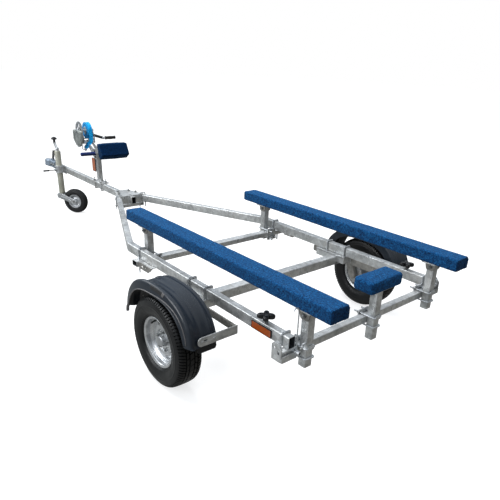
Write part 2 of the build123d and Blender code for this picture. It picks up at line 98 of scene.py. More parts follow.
SEAT_REAR, SEAT_FRONT, SEAT_BOT = 92.0, 160.0, RAIL_BOT - 48.0
BUNK_W, BUNK_T, BUNK_TOP, BUNK_Y = 112.0, 68.0, 678.0, 490.0
BUNK_REAR, BUNK_FRONT = X_AX - 850.0, X_AX + 930.0
BRACKET_Z = BUNK_TOP - BUNK_T
REAR_POST_X = REAR_CROSS_X - CROSS / 2 - POST / 2
FRONT_POST_X = FRONT_CROSS_X + FRONT_CROSS_W / 2 + POST / 2
POST_X, WPOST = X_AX + 2570.0, 42.0
DRUM_X, DRUM_Z, COIL_R, COIL_HALF = X_AX + 2770.0, 932.0, 74.0, 20.0
PIN_X, PIN_Z = DRUM_X + 80, DRUM_Z - 58
END_X, END_Z = PIN_X - 230.0, PIN_Z + 2
JX, JY = X_AX + 3425.0, 75.0
TRAIL, TRAIL_DEG, JW_R, JW_W = 150.0, 220.0, 130.0, 68.0
BALL_X = NOSE - 52
GEAR_Y, WY, WYL = 72.0, 44.0, 64.0
GUARD_CX, GUARD_CZ = X_AX, 250.0
GUARD_A, GUARD_B, GUARD_N = 310.0, 295.0, 2.6
GUARD_Y0, GUARD_Y1 = 712.0, 882.0
GUARD_REAR, GUARD_FRONT, FLAP_END = 17.0, 167.0, 11.0
STAY_Y0, STAY_Y1, STAY_Z0, STAY_Z1 = 596.0, 830.0, 350.0, 398.0
STAY_REAR, STAY_FRONT = X_AX - 309.0, X_AX + 309.0
REAR_HALF = 631.0


# ================================================================ materials
def new_mat(name):
    m = bpy.data.materials.new(name)
    m.use_nodes = True
    nt = m.node_tree
    nt.nodes.clear()
    out = nt.nodes.new("ShaderNodeOutputMaterial")
    b = nt.nodes.new("ShaderNodeBsdfPrincipled")
    nt.links.new(b.outputs[0], out.inputs[0])
    co = nt.nodes.new("ShaderNodeTexCoord")
    return m, nt, b, co.outputs["Object"]


def put(nt, kind, **vals):
    n = nt.nodes.new(kind)
    for k, v in vals.items():
        if k.startswith("i_"):
            n.inputs[k[2:].replace("_", " ")].default_value = v
        else:
            setattr(n, k, v)
    return n


def mapped(nt, co, scale=(1, 1, 1), rot=(0, 0, 0)):
    mp = nt.nodes.new("ShaderNodeMapping")
    mp.inputs["Scale"].default_value = scale
    mp.inputs["Rotation"].default_value = rot
    nt.links.new(co, mp.inputs["Vector"])
    return mp.outputs[0]


def noise_tex(nt, co, scale, detail=4.0, rough=0.55, dist=0.0):
    n = put(nt, "ShaderNodeTexNoise")
    n.inputs["Scale"].default_value = scale
    n.inputs["Detail"].default_value = detail
    n.inputs["Roughness"].default_value = rough
    n.inputs["Distortion"].default_value = dist
    nt.links.new(co, n.inputs["Vector"])
    return n.outputs["Fac"]


def voronoi(nt, co, scale, feature="F1", out="Distance", rnd=1.0):
    n = put(nt, "ShaderNodeTexVoronoi", feature=feature)
    n.inputs["Scale"].default_value = scale
    n.inputs["Randomness"].default_value = rnd
    nt.links.new(co, n.inputs["Vector"])
    return n.outputs[out]


def ramp(nt, fac, stops, interp="LINEAR"):
    r = nt.nodes.new("ShaderNodeValToRGB")
    r.color_ramp.interpolation = interp
    el = r.color_ramp.elements
    while len(el) > 1:
        el.remove(el[-1])
    first = True
    for pos, col in stops:
        e = el[0] if first else el.new(pos)
        first = False
        e.position = pos
        e.color = (*col, 1) if len(col) == 3 else col
    nt.links.new(fac, r.inputs[0])
    return r.outputs[0]


def grey(v):
    return (v, v, v)


def mix_col(nt, fac, a, b, mode="MIX"):
    m = nt.nodes.new("ShaderNodeMix")
    m.data_type = "RGBA"
    m.blend_type = mode
    for sock, val in ((m.inputs[0], fac), (m.inputs[6], a), (m.inputs[7], b)):
        if hasattr(val, "is_linked") or hasattr(val, "links"):
            nt.links.new(val, sock)
        elif isinstance(val, (tuple, list)):
            sock.default_value = (*val, 1) if len(val) == 3 else val
        else:
            sock.default_value = val
    return m.outputs[2]


def math_node(nt, op, a, b=None, clamp=False):
    m = nt.nodes.new("ShaderNodeMath")
    m.operation = op
    m.use_clamp = clamp
    for sock, val in ((m.inputs[0], a), (m.inputs[1], b)):
        if val is None:
            continue
        if hasattr(val, "links"):
            nt.links.new(val, sock)
        else:
            sock.default_value = val
    return m.outputs[0]


def bump(nt, bsdf, height, strength, distance, prev=None):
    b = nt.nodes.new("ShaderNodeBump")
    b.inputs["Strength"].default_value = strength
    b.inputs["Distance"].default_value = distance
    nt.links.new(height, b.inputs["Height"])
    if prev is not None:
        nt.links.new(prev, b.inputs["Normal"])
    nt.links.new(b.outputs[0], bsdf.inputs["Normal"])
    return b.outputs[0]


def edge_wear(nt, radius=0.003):
    """Pointiness is baked per vertex; works on the denser pieces."""
    g = nt.nodes.new("ShaderNodeNewGeometry")
    return g.outputs["Pointiness"]


def galvanised(name, base=(0.56, 0.57, 0.56), dark=(0.36, 0.365, 0.355),
               warm=(0.50, 0.47, 0.41), metal=0.45, rough=0.46, cell=55.0):
    m, nt, b, co = new_mat(name)
    n1 = noise_tex(nt, co, 7.0, 5, 0.6, 0.3)
    cloud = ramp(nt, n1, [(0.30, dark), (0.52, base),
                          (0.75, tuple(min(1, c * 1.16) for c in base))])
    cellc = voronoi(nt, mapped(nt, co, (1, 1, 1)), cell, out="Color")
    cv = nt.nodes.new("ShaderNodeSeparateColor")
    nt.links.new(cellc, cv.inputs[0])
    spangle = ramp(nt, cv.outputs[0], [(0.0, grey(0.72)), (1.0, grey(1.18))])
    c1 = mix_col(nt, 0.65, cloud, spangle, "MULTIPLY")
    n2 = noise_tex(nt, mapped(nt, co, (1.0, 1.0, 0.25)), 22.0, 6, 0.65)
    stain = ramp(nt, n2, [(0.50, grey(0)), (0.74, grey(1))])
    s1 = nt.nodes.new("ShaderNodeSeparateColor")
    nt.links.new(stain, s1.inputs[0])
    c2 = mix_col(nt, math_node(nt, "MULTIPLY", s1.outputs[0], 0.42), c1, warm)
    n3 = noise_tex(nt, co, 260.0, 2, 0.5)
    fine = ramp(nt, n3, [(0.35, grey(0.90)), (0.65, grey(1.06))])
    c3 = mix_col(nt, 0.6, c2, fine, "MULTIPLY")
    nt.links.new(c3, b.inputs["Base Color"])
    b.inputs["Metallic"].default_value = metal
    r = ramp(nt, n2, [(0.3, grey(rough - 0.08)), (0.7, grey(rough + 0.16))])
    nt.links.new(r, b.inputs["Roughness"])
    h1 = bump(nt, b, n3, 0.10, 0.0006)
    bump(nt, b, n1, 0.25, 0.0015, h1)
    return m


def carpet(name, light, mid, dark, fleck=(0.03, 0.10, 0.30), scale=1.0,
           rough=0.95, spec=0.14):
    """Short, dense marine carpet: mottled, with a fibrous surface."""
    m, nt, b, co = new_mat(name)
    big = noise_tex(nt, co, 9.0 * scale, 4, 0.6, 0.4)
    mot = noise_tex(nt, co, 112.0 * scale, 4, 0.66, 0.4)
    fib = noise_tex(nt, co, 420.0 * scale, 3, 0.7)
    loops = voronoi(nt, co, 330.0 * scale)
    c1 = ramp(nt, mot, [(0.36, dark), (0.49, mid), (0.62, light)])
    c2 = mix_col(nt, ramp(nt, big, [(0.42, grey(0)), (0.68, grey(0.35))]),
                 c1, mid)
    vf = ramp(nt, fib, [(0.30, grey(0.62)), (0.55, grey(1.0)),
                        (0.75, grey(1.30))])
    c3 = mix_col(nt, 0.85, c2, vf, "MULTIPLY")
    fl = ramp(nt, noise_tex(nt, co, 150.0 * scale, 2, 0.5),
              [(0.62, grey(0)), (0.70, grey(0.5))])
    c4 = mix_col(nt, fl, c3, fleck)
    nt.links.new(c4, b.inputs["Base Color"])
    b.inputs["Roughness"].default_value = rough
    b.inputs["Specular IOR Level"].default_value = spec
    b.inputs["Sheen Weight"].default_value = 0.10
    b.inputs["Sheen Roughness"].default_value = 0.6
    b.inputs["Sheen Tint"].default_value = (0.20, 0.55, 1.0, 1)
    h1 = bump(nt, b, fib, 0.55, 0.0016)
    h2 = bump(nt, b, loops, 0.35, 0.0012, h1)
    bump(nt, b, mot, 0.35, 0.003, h2)
    return m


def rubber(name, base=(0.028, 0.028, 0.03), dust=(0.15, 0.135, 0.115),
           amount=0.35, rough=0.72):
    m, nt, b, co = new_mat(name)
    n1 = noise_tex(nt, co, 14.0, 6, 0.65, 0.3)
    n2 = noise_tex(nt, co, 190.0, 4, 0.6)
    k = ramp(nt, n1, [(0.40, grey(0)), (0.72, grey(amount))])
    c1 = mix_col(nt, k, base, dust)
    c2 = mix_col(nt, 0.5, c1, ramp(nt, n2, [(0.3, grey(0.75)),
                                            (0.7, grey(1.25))]), "MULTIPLY")
    nt.links.new(c2, b.inputs["Base Color"])
    nt.links.new(ramp(nt, n1, [(0.3, grey(rough - 0.16)),
                               (0.7, grey(rough + 0.14))]),
                 b.inputs["Roughness"])
    b.inputs["Specular IOR Level"].default_value = 0.35
    bump(nt, b, n2, 0.25, 0.0006)
    return m


def plastic(name, base=(0.018, 0.018, 0.020), rough=0.38, grain=520.0,
            dust=(0.16, 0.155, 0.15), amount=0.22):
    m, nt, b, co = new_mat(name)
    n1 = noise_tex(nt, co, 6.0, 6, 0.62, 0.5)
    n2 = noise_tex(nt, co, grain, 2, 0.5)
    k = ramp(nt, n1, [(0.48, grey(0)), (0.80, grey(amount))])
    c = mix_col(nt, k, base, dust)
    nt.links.new(c, b.inputs["Base Color"])
    nt.links.new(ramp(nt, n1, [(0.3, grey(rough - 0.05)),
                               (0.75, grey(rough + 0.22))]),
                 b.inputs["Roughness"])
    b.inputs["Specular IOR Level"].default_value = 0.5
    bump(nt, b, n2, 0.12, 0.0004)
    return m


def paint(name, base, rough=0.36, metal=0.55, dirt=(0.20, 0.18, 0.15),
          amount=0.35, coat=0.15):
    m, nt, b, co = new_mat(name)
    n1 = noise_tex(nt, co, 26.0, 6, 0.66, 0.4)
    n2 = noise_tex(nt, co, 900.0, 2, 0.5)
    k = ramp(nt, n1, [(0.52, grey(0)), (0.78, grey(amount))])
    c = mix_col(nt, k, base, dirt)
    c2 = mix_col(nt, 0.4, c, ramp(nt, n2, [(0.3, grey(0.85)),
                                           (0.7, grey(1.12))]), "MULTIPLY")
    nt.links.new(c2, b.inputs["Base Color"])
    b.inputs["Metallic"].default_value = metal
    nt.links.new(ramp(nt, n1, [(0.3, grey(rough - 0.04)),
                               (0.8, grey(rough + 0.25))]),
                 b.inputs["Roughness"])
    b.inputs["Coat Weight"].default_value = coat
    b.inputs["Coat Roughness"].default_value = 0.25
    bump(nt, b, n2, 0.06, 0.0003)
    return m


def lens(name, base=(0.60, 0.135, 0.008), deep=(0.27, 0.042, 0.003)):
    """Moulded reflector: a field of small prisms under clear plastic."""
    m, nt, b, co = new_mat(name)
    cells = voronoi(nt, co, 330.0, rnd=0.0)
    c = ramp(nt, cells, [(0.0, base), (0.55, deep), (1.0, deep)])
    n1 = noise_tex(nt, co, 30.0, 4, 0.6)
    c2 = mix_col(nt, ramp(nt, n1, [(0.4, grey(0)), (0.8, grey(0.3))]), c,
                 (0.30, 0.13, 0.06))
    nt.links.new(c2, b.inputs["Base Color"])
    b.inputs["Roughness"].default_value = 0.16
    b.inputs["Coat Weight"].default_value = 0.8
    b.inputs["Coat Roughness"].default_value = 0.06
    # faint emission makes the lens glow by itself: a painted glow
    b.inputs["Emission Color"].default_value = (0.7, 0.17, 0.01, 1)
    b.inputs["Emission Strength"].default_value = 0.03
    bump(nt, b, cells, 0.5, 0.0008)
    return m


def webbing(name, base=(0.0, 0.37, 0.80), dark=(0.0, 0.17, 0.50)):
    m, nt, b, co = new_mat(name)
    w = put(nt, "ShaderNodeTexWave", wave_type="BANDS", bands_direction="Y")
    w.inputs["Scale"].default_value = 190.0
    w.inputs["Distortion"].default_value = 0.4
    nt.links.new(co, w.inputs["Vector"])
    n1 = noise_tex(nt, co, 40.0, 5, 0.6)
    c1 = ramp(nt, w.outputs["Fac"], [(0.15, dark), (0.6, base)])
    c2 = mix_col(nt, ramp(nt, n1, [(0.4, grey(0)), (0.8, grey(0.35))]), c1,
                 (0.01, 0.25, 0.51))
    nt.links.new(c2, b.inputs["Base Color"])
    b.inputs["Roughness"].default_value = 0.6
    b.inputs["Specular IOR Level"].default_value = 0.25
    b.inputs["Sheen Weight"].default_value = 0.1
    bump(nt, b, w.outputs["Fac"], 0.5, 0.0008)
    return m


M = {}
M["galv"] = galvanised("galvanised_steel", base=(0.62, 0.63, 0.63),
                       dark=(0.36, 0.37, 0.37), metal=0.72, rough=0.34)
M["galv_tube"] = galvanised("galvanised_tube", base=(0.66, 0.67, 0.67),
                            dark=(0.42, 0.43, 0.43), metal=0.75, rough=0.31)
M["galv_bright"] = galvanised("zinc_bright", base=(0.72, 0.74, 0.76),
                              dark=(0.42, 0.44, 0.46), metal=0.85, rough=0.28,
                              cell=160.0)
M["galv_dull"] = galvanised("zinc_dull", base=(0.30, 0.29, 0.27),
                            dark=(0.13, 0.13, 0.12), metal=0.55, rough=0.45)
# near-black zinc for the insides of tubes and stubs: painted shade in the
# hollows
M["tube_inside_painted_shade"] = galvanised("tube_inside_painted_shade", base=(0.045, 0.048, 0.055),
                              dark=(0.016, 0.018, 0.022),
                              warm=(0.05, 0.04, 0.03), metal=0.2, rough=0.7)
M["case"] = galvanised("winch_case", base=(0.36, 0.39, 0.375),
                       dark=(0.20, 0.22, 0.215), metal=0.5, rough=0.4,
                       cell=200.0)
M["bolt"] = galvanised("bolt_zinc", base=(0.36, 0.37, 0.37),
                       dark=(0.11, 0.115, 0.12), metal=0.85, rough=0.30,
                       cell=300.0)
M["cast"] = galvanised("cast_coupling", base=(0.22, 0.27, 0.33),
                       dark=(0.11, 0.14, 0.18), warm=(0.24, 0.24, 0.24),
                       metal=0.5, rough=0.42, cell=30.0)
M["carpet"] = carpet("bunk_carpet", light=(0.0075, 0.086, 0.238),
                     mid=(0.0026, 0.035, 0.113), dark=(0.0005, 0.008, 0.032),
                     fleck=(0.020, 0.115, 0.28))
# darker copy of the bunk carpet for the end faces and folds: painted shade
M["carpet_end"] = carpet("bunk_carpet_end", light=(0.003, 0.034, 0.112),
                         mid=(0.001, 0.015, 0.056),
                         dark=(0.0002, 0.004, 0.017),
                         fleck=(0.006, 0.045, 0.13))
M["navy"] = carpet("navy_pad_cover", light=(0.0006, 0.017, 0.068),
                   mid=(0.0002, 0.008, 0.034), dark=(0.0001, 0.003, 0.012),
                   fleck=(0.001, 0.010, 0.04), scale=1.3, rough=0.88,
                   spec=0.05)
M["tyre"] = rubber("tyre_rubber", base=(0.0033, 0.0035, 0.0039),
                   dust=(0.022, 0.021, 0.020), amount=0.14, rough=0.42)
M["tyre_small"] = rubber("jockey_tyre_rubber", base=(0.008, 0.0085, 0.0095),
                         dust=(0.05, 0.05, 0.05), amount=0.2, rough=0.6)
M["plastic"] = plastic("guard_plastic", base=(0.0070, 0.0112, 0.0180),
                       rough=0.25, dust=(0.048, 0.062, 0.082), amount=0.16)
# lighter grey plastic: painted highlight on the lip's bead and the recess's
# end band; the front tip takes it too
M["guard_grey_edge_painted_highlight"] = plastic("guard_grey_edge_painted_highlight", base=(0.090, 0.086, 0.088),
                          rough=0.26, dust=(0.20, 0.19, 0.19), amount=0.3)
M["knob"] = plastic("knob_plastic", base=(0.005, 0.005, 0.006), rough=0.36,
                    amount=0.05)
M["knob_gloss"] = plastic("knob_gloss", base=(0.004, 0.004, 0.005),
                          rough=0.22, amount=0.03)
# near-black steel for the winch crank arm: painted shade on the arm
M["crank_arm_painted_shade"] = paint("crank_arm_painted_shade", (0.020, 0.022, 0.022), rough=0.32,
                         amount=0.12)
M["rim"] = paint("rim_silver", (0.62, 0.63, 0.64), rough=0.24, metal=0.88,
                 dirt=(0.06, 0.06, 0.06), amount=0.50, coat=0.2)
M["rim_small"] = paint("jockey_rim_grey", (0.60, 0.62, 0.64), metal=0.7,
                       rough=0.3, dirt=(0.10, 0.10, 0.10), amount=0.4)
M["hub"] = paint("hub_zinc", (0.42, 0.43, 0.44), rough=0.34, metal=0.8,
                 dirt=(0.06, 0.06, 0.06), amount=0.45)
M["amber"] = lens("amber_lens")
M["strap"] = webbing("strap_webbing")


# ============================================================ mesh helpers
def v3(p):
    return Vector(p) * MM


def make_obj(name, verts, faces, mat, smooth=30.0):
    me = bpy.data.meshes.new(name)
    me.from_pydata([tuple(v) for v in verts], [], faces)
    me.validate()
    ob = bpy.data.objects.new(name, me)
    bpy.context.scene.collection.objects.link(ob)
    fix_normals(ob)
    me.materials.append(mat)
    if smooth is not None:
        shade(ob, smooth)
    return ob


def fix_normals(ob):
    bm = bmesh.new()
    bm.from_mesh(ob.data)
    bmesh.ops.remove_doubles(bm, verts=bm.verts, dist=1e-6)
    bmesh.ops.recalc_face_normals(bm, faces=bm.faces)
    bm.to_mesh(ob.data)
    bm.free()


def shade(ob, deg=30.0):
    me = ob.data
    for p in me.polygons:
        p.use_smooth = True
    me.set_sharp_from_angle(angle=math.radians(deg))


def apply_mods(ob):
    dg = bpy.context.evaluated_depsgraph_get()
    dg.update()
    me = bpy.data.meshes.new_from_object(ob.evaluated_get(dg))
    old = ob.data
    ob.modifiers.clear()
    ob.data = me
    me.name = ob.name
    if old.users == 0:
        bpy.data.meshes.remove(old)
    return ob


def bevel(ob, width, segs=2, angle=35.0):
    m = ob.modifiers.new("bevel", "BEVEL")
    m.width = width * MM
    m.segments = segs
    m.limit_method = "ANGLE"
    m.angle_limit = math.radians(angle)
    m.harden_normals = False
    apply_mods(ob)
    shade(ob, 40)
    return ob


def subsurf(ob, levels=1):
    m = ob.modifiers.new("sub", "SUBSURF")
    m.levels = levels
    m.render_levels = levels
    apply_mods(ob)
    return ob


def done(ob, body="chassis", replaces=()):
    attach(ob, body)
    if replaces:
        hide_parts(*replaces)
    return ob


def join(name, objs, smooth=None):
    """Join meshes into one piece, keeping their materials."""
    bm = bmesh.new()
    mats = []
    for o in objs:
        me = o.data
        me.transform(o.matrix_world)
        o.matrix_world = Matrix.Identity(4)
        table = []
        for mt in me.materials:
            if mt not in mats:
                mats.append(mt)
            table.append(mats.index(mt))
        for p in me.polygons:
            p.material_index = table[p.material_index] if table else 0
        bm.from_mesh(me)
    me = bpy.data.meshes.new(name)
    bm.to_mesh(me)
    bm.free()
    for mt in mats:
        me.materials.append(mt)
    ob = bpy.data.objects.new(name, me)
    bpy.context.scene.collection.objects.link(ob)
    for o in objs:
        bpy.data.objects.remove(o)
    if smooth is not None:
        shade(ob, smooth)
    return ob


def rrect(w, h, r, n=4):
    """Rounded rectangle, counter-clockwise, as (a, b) pairs."""
    pts = []
    r = max(min(r, w / 2 - 1e-3, h / 2 - 1e-3), 1e-3)
    for cx, cy, a0 in ((w / 2 - r, h / 2 - r, 0), (-w / 2 + r, h / 2 - r, 90),
                       (-w / 2 + r, -h / 2 + r, 180),
                       (w / 2 - r, -h / 2 + r, 270)):
        for k in range(n + 1):
            a = math.radians(a0 + 90 * k / n)
            pts.append((cx + r * math.cos(a), cy + r * math.sin(a)))
    return pts


def skin(rings, closed_ends=True):
    """Faces over a list of rings of equal length."""
    n = len(rings[0])
    verts = [p for r in rings for p in r]
    faces = []
    for i in range(len(rings) - 1):
        for k in range(n):
            a, b = i * n + k, i * n + (k + 1) % n
            faces.append((a, b, b + n, a + n))
    if closed_ends:
        faces.append(tuple(reversed(range(n))))
        faces.append(tuple(range((len(rings) - 1) * n, len(rings) * n)))
    return verts, faces


def tube_skin(outer, inner):
    """A hollow tube from matching rings, its ends closed by a rim."""
    n = len(outer[0])
    m = len(outer)
    verts = [p for r in outer for p in r] + [p for r in inner for p in r]
    off = m * n
    faces = []
    for i in range(m - 1):
        for k in range(n):
            a, b = i * n + k, i * n + (k + 1) % n
            faces.append((a, b, b + n, a + n))
            faces.append((off + a + n, off + b + n, off + b, off + a))
    for k in range(n):
        a, b = k, (k + 1) % n
        faces.append((off + a, off + b, b, a))
        a, b = (m - 1) * n + k, (m - 1) * n + (k + 1) % n
        faces.append((a, b, off + b, off + a))
    return verts, faces


def stations(path, bend=None, n=10):
    """(origin, direction) stations on a polyline whose corners are arcs."""
    P = [Vector(p) for p in path]
    out = [(P[0], (P[1] - P[0]).normalized())]
    for i in range(1, len(P) - 1):
        d0 = (P[i] - P[i - 1]).normalized()
        d1 = (P[i + 1] - P[i]).normalized()
        ang = d0.angle(d1)
        r = bend[i - 1] if isinstance(bend, (list, tuple)) else bend
        if not r or ang < 1e-4:
            out.append((P[i], ((d0 + d1) / 2).normalized()))
            continue
        t = r * math.tan(ang / 2)
        start = P[i] - d0 * t
        axis = d0.cross(d1).normalized()
        c = start + axis.cross(d0) * r
        for k in range(n + 1):
            q = Matrix.Rotation(ang * k / n, 3, axis)
            out.append((c + q @ (start - c), q @ d0))
    out.append((P[-1], (P[-1] - P[-2]).normalized()))
    return out


def frames_for(st, up):
    """Keep one side axis level with up along the stations."""
    res = []
    for p, d in st:
        u = Vector(up)
        side = u.cross(d)
        if side.length < 1e-6:
            side = Vector((1, 0, 0))
        side.normalize()
        res.append((p, side, d.cross(side).normalized(), d))
    return res


def box_tube(name, path, w, h, mat, t=WALL, r=5.0, bend=None, up=(0, 0, 1),
             n=10):
    """Rolled box section along a path: w across, h along up, open ends."""
    outer, inner = [], []
    st = frames_for(stations(path, bend, n), up)
    ro, ri = rrect(w, h, r), rrect(w - 2 * t, h - 2 * t, max(r - t, 1.0))
    for p, s, u, d in st:
        outer.append([(p + s * a + u * b) * MM for a, b in ro])
        inner.append([(p + s * a + u * b) * MM for a, b in ri])
    ob = make_obj(name, *tube_skin(outer, inner), mat)
    # the inner skin takes the near-black inside material: painted shade down
    # the tube
    ob.data.materials.append(M["tube_inside_painted_shade"])
    off = len(outer) * len(outer[0])
    for poly in ob.data.polygons:
        if min(poly.vertices) >= off:
            poly.material_index = 1
    return ob


def rod(name, path, r, mat, bend=None, n=12, arcn=6, up=None, thread=None):
    """Round bar; thread=(length, pitch) cuts ridges at both ends."""
    st = stations(path, bend, arcn)
    # parallel transport frames
    d0 = st[0][1]
    s = Vector(up) if up else (Vector((0, 0, 1)) if abs(d0.z) < 0.9
                               else Vector((1, 0, 0)))
    s = (s - d0 * s.dot(d0)).normalized()
    rings = []
    fr = []
    prev = d0
    for p, d in st:
        q = prev.rotation_difference(d)
        s = (q @ s).normalized()
        s = (s - d * s.dot(d)).normalized()
        fr.append((p, d, s))
        prev = d
    out = []
    for i, (p, d, s) in enumerate(fr):
        out.append((p, d, s, r))
    if thread:
        ln, pitch = thread
        for end in (0, 1):
            a, b = (fr[0], fr[1]) if end == 0 else (fr[-1], fr[-2])
            p, q = a[0], b[0]
            dirn = (q - p).normalized()
            cnt = int(ln / (pitch / 2))
            ext = [(p + dirn * (k * pitch / 2), a[1], a[2],
                    r * (0.90 if k % 2 == 0 else 1.0)) for k in range(cnt)]
            if end == 0:
                out = ext + out[1:]
            else:
                out = out[:-1] + list(reversed(ext))
    for p, d, s, rr in out:
        t = d.cross(s)
        rings.append([(p + s * (rr * math.cos(2 * math.pi * k / n))
                       + t * (rr * math.sin(2 * math.pi * k / n))) * MM
                      for k in range(n)])
    return make_obj(name, *skin(rings), mat, smooth=40)


def lathe(name, profile, centre, axis, mat, n=48, ref=None, closed=True,
          smooth=30.0, start=0.0, sweep=360.0):
    """Turn (r, along) profile about an axis through centre."""
    c, a = Vector(centre), Vector(axis).normalized()
    s = Vector(ref) if ref else (Vector((0, 0, 1)) if abs(a.z) < 0.9
                                 else Vector((1, 0, 0)))
    s = (s - a * s.dot(a)).normalized()
    t = a.cross(s)
    full = abs(sweep - 360.0) < 1e-6
    cnt = n if full else n + 1
    rings = []
    for k in range(cnt):
        th = math.radians(start + sweep * k / n)
        e = s * math.cos(th) + t * math.sin(th)
        rings.append([(c + a * y + e * rr) * MM for rr, y in profile])
    m = len(profile)
    verts = [p for r in rings for p in r]
    faces = []
    last = m if closed else m - 1
    for k in range(n if full else n):
        k2 = (k + 1) % cnt if full else k + 1
        for i in range(last):
            j = (i + 1) % m
            faces.append((k * m + i, k * m + j, k2 * m + j, k2 * m + i))
    if not full and closed:
        faces.append(tuple(range(m)))
        faces.append(tuple(reversed(range((cnt - 1) * m, cnt * m))))
    return make_obj(name, verts, faces, mat, smooth=smooth)


def loft_y(name, outline, y0, y1, mat, bev=1.0, segs=2):
    """An (x, z) outline between y0 and y1, with its edges eased."""
    a = [Vector((x, y0, z)) * MM for x, z in outline]
    b = [Vector((x, y1, z)) * MM for x, z in outline]
    ob = make_obj(name, *skin([a, b]), mat)
    return bevel(ob, bev, segs) if bev else ob


def loft_z(name, outline, z0, z1, mat, bev=1.0, segs=2):
    a = [Vector((x, y, z0)) * MM for x, y in outline]
    b = [Vector((x, y, z1)) * MM for x, y in outline]
    ob = make_obj(name, *skin([a, b]), mat)
    return bevel(ob, bev, segs) if bev else ob


def block(name, x0, x1, y0, y1, z0, z1, mat, bev=1.0, segs=2):
    return loft_z(name, [(x0, y0), (x1, y0), (x1, y1), (x0, y1)], z0, z1, mat,
                  bev, segs)


def sheet_cut(name, outer, holes, plane, thick, mat, bev=0.6):
    """Flat plate with holes.  plane = (origin, u, v); thick grows both ways.
    outer: list of (u, v); holes: lists of (u, v)."""
    cu = bpy.data.curves.new(name, "CURVE")
    cu.dimensions = "2D"
    cu.fill_mode = "BOTH"
    cu.extrude = max(thick / 2 - bev, 0.01) * MM
    cu.bevel_depth = bev * MM
    cu.bevel_resolution = 1
    cu.offset = -bev * MM
    for pts in [outer] + list(holes):
        sp = cu.splines.new("POLY")
        sp.points.add(len(pts) - 1)
        for i, (a, b) in enumerate(pts):
            sp.points[i].co = (a * MM, b * MM, 0, 1)
        sp.use_cyclic_u = True
    ob = bpy.data.objects.new(name, cu)
    bpy.context.scene.collection.objects.link(ob)
    o, u, v = (Vector(q) for q in plane)
    u.normalize(); v.normalize()
    w = u.cross(v)
    mat4 = Matrix(((u.x, v.x, w.x, o.x * MM), (u.y, v.y, w.y, o.y * MM),
                   (u.z, v.z, w.z, o.z * MM), (0, 0, 0, 1)))
    bpy.context.view_layer.update()
    dg = bpy.context.evaluated_depsgraph_get()
    me = bpy.data.meshes.new_from_object(ob.evaluated_get(dg))
    bpy.data.objects.remove(ob)
    me.transform(mat4)
    me.name = name
    ob = bpy.data.objects.new(name, me)
    bpy.context.scene.collection.objects.link(ob)
    me.materials.clear()
    me.materials.append(mat)
    fix_normals(ob)
    shade(ob, 35)
    return ob


def circle2(cx, cy, r, n=20):
    return [(cx + r * math.cos(2 * math.pi * k / n),
             cy + r * math.sin(2 * math.pi * k / n)) for k in range(n)]


def slot2(cx, cy, length, r, along="u", n=8):
    pts = []
    h = length / 2 - r
    for k in range(n + 1):
        a = -math.pi / 2 + math.pi * k / n
        pts.append((h + r * math.cos(a), r * math.sin(a)))
    for k in range(n + 1):
        a = math.pi / 2 + math.pi * k / n
        pts.append((-h + r * math.cos(a), r * math.sin(a)))
    if along == "v":
        pts = [(-b, a) for a, b in pts]
    return [(cx + a, cy + b) for a, b in pts]


def round2(pts, r, n=5):
    """Round the corners of a 2-D outline."""
    out = []
    m = len(pts)
    for i in range(m):
        p0, p1, p2 = (Vector((*pts[i - 1], 0)), Vector((*pts[i], 0)),
                      Vector((*pts[(i + 1) % m], 0)))
        d0, d1 = (p1 - p0), (p2 - p1)
        rr = r[i] if isinstance(r, (list, tuple)) else r
        if rr <= 0 or d0.length < 1e-6 or d1.length < 1e-6:
            out.append(tuple(p1[:2]))
            continue
        a, b = d0.normalized(), d1.normalized()
        ang = a.angle(b)
        if ang < 1e-3:
            out.append(tuple(p1[:2]))
            continue
        t = min(rr * math.tan(ang / 2), d0.length * 0.49, d1.length * 0.49)
        rr = t / math.tan(ang / 2)
        s = p1 - a * t
        z = a.cross(b).normalized()
        c = s + z.cross(a) * rr
        for k in range(n + 1):
            q = Matrix.Rotation(ang * k / n, 3, z)
            v = c + q @ (s - c)
            out.append((v.x, v.y))
    return out


def nut(name, centre, axis, af=17.0, h=8.0, mat=None, bore=0.0):
    """Hex nut standing on centre, growing along axis, with eased corners."""
    mat = mat or M["bolt"]
    c, a = Vector(centre), Vector(axis).normalized()
    s = Vector((0, 0, 1)) if abs(a.z) < 0.9 else Vector((1, 0, 0))
    s = (s - a * s.dot(a)).normalized()
    t = a.cross(s)
    R = af / math.sqrt(3)
    rings = []
    n = 24
    for z, cap in ((0.0, 0.97), (h * 0.10, 1.0), (h * 0.86, 1.0),
                   (h, 0.92)):
        ring = []
        for k in range(n):
            th = 2 * math.pi * k / n
            seg = (th % (math.pi / 3)) - math.pi / 6
            rr = (af / 2) / math.cos(seg)
            rr = min(rr, R * cap)
            ring.append((c + a * z + (s * math.cos(th) + t * math.sin(th))
                         * rr) * MM)
        rings.append(ring)
    return make_obj(name, *skin(rings), mat, smooth=25)


def washer(name, centre, axis, r=12.0, h=2.0, mat=None):
    return lathe(name, [(0.01, 0), (r, 0), (r, h), (0.01, h)], centre, axis,
                 mat or M["bolt"], n=24)


def stud_end(name, centre, axis, r=5.0, ln=14.0, mat=None):
    """Threaded end that stands out of a nut."""
    prof = [(0.01, 0)]
    k = 0
    z = 0.0
    while z < ln - 1:
        prof.append((r if k % 2 == 0 else r * 0.88, z))
        z += 0.9
        k += 1
    prof += [(r * 0.8, ln), (0.01, ln)]
    return lathe(name, prof, centre, axis, mat or M["bolt"], n=12, smooth=50)


def bolt_set(name, centre, axis, af=17.0, stud=10.0, r=5.0, head=8.0):
    """Washer, nut and stud end as one list of meshes."""
    c, a = Vector(centre), Vector(axis).normalized()
    return [washer(name + "_w", c, a, af * 0.72, 2.0),
            nut(name + "_n", c + a * 2.0, a, af, head),
            stud_end(name + "_s", c + a * (2.0 + head - 1), a, r, stud)]


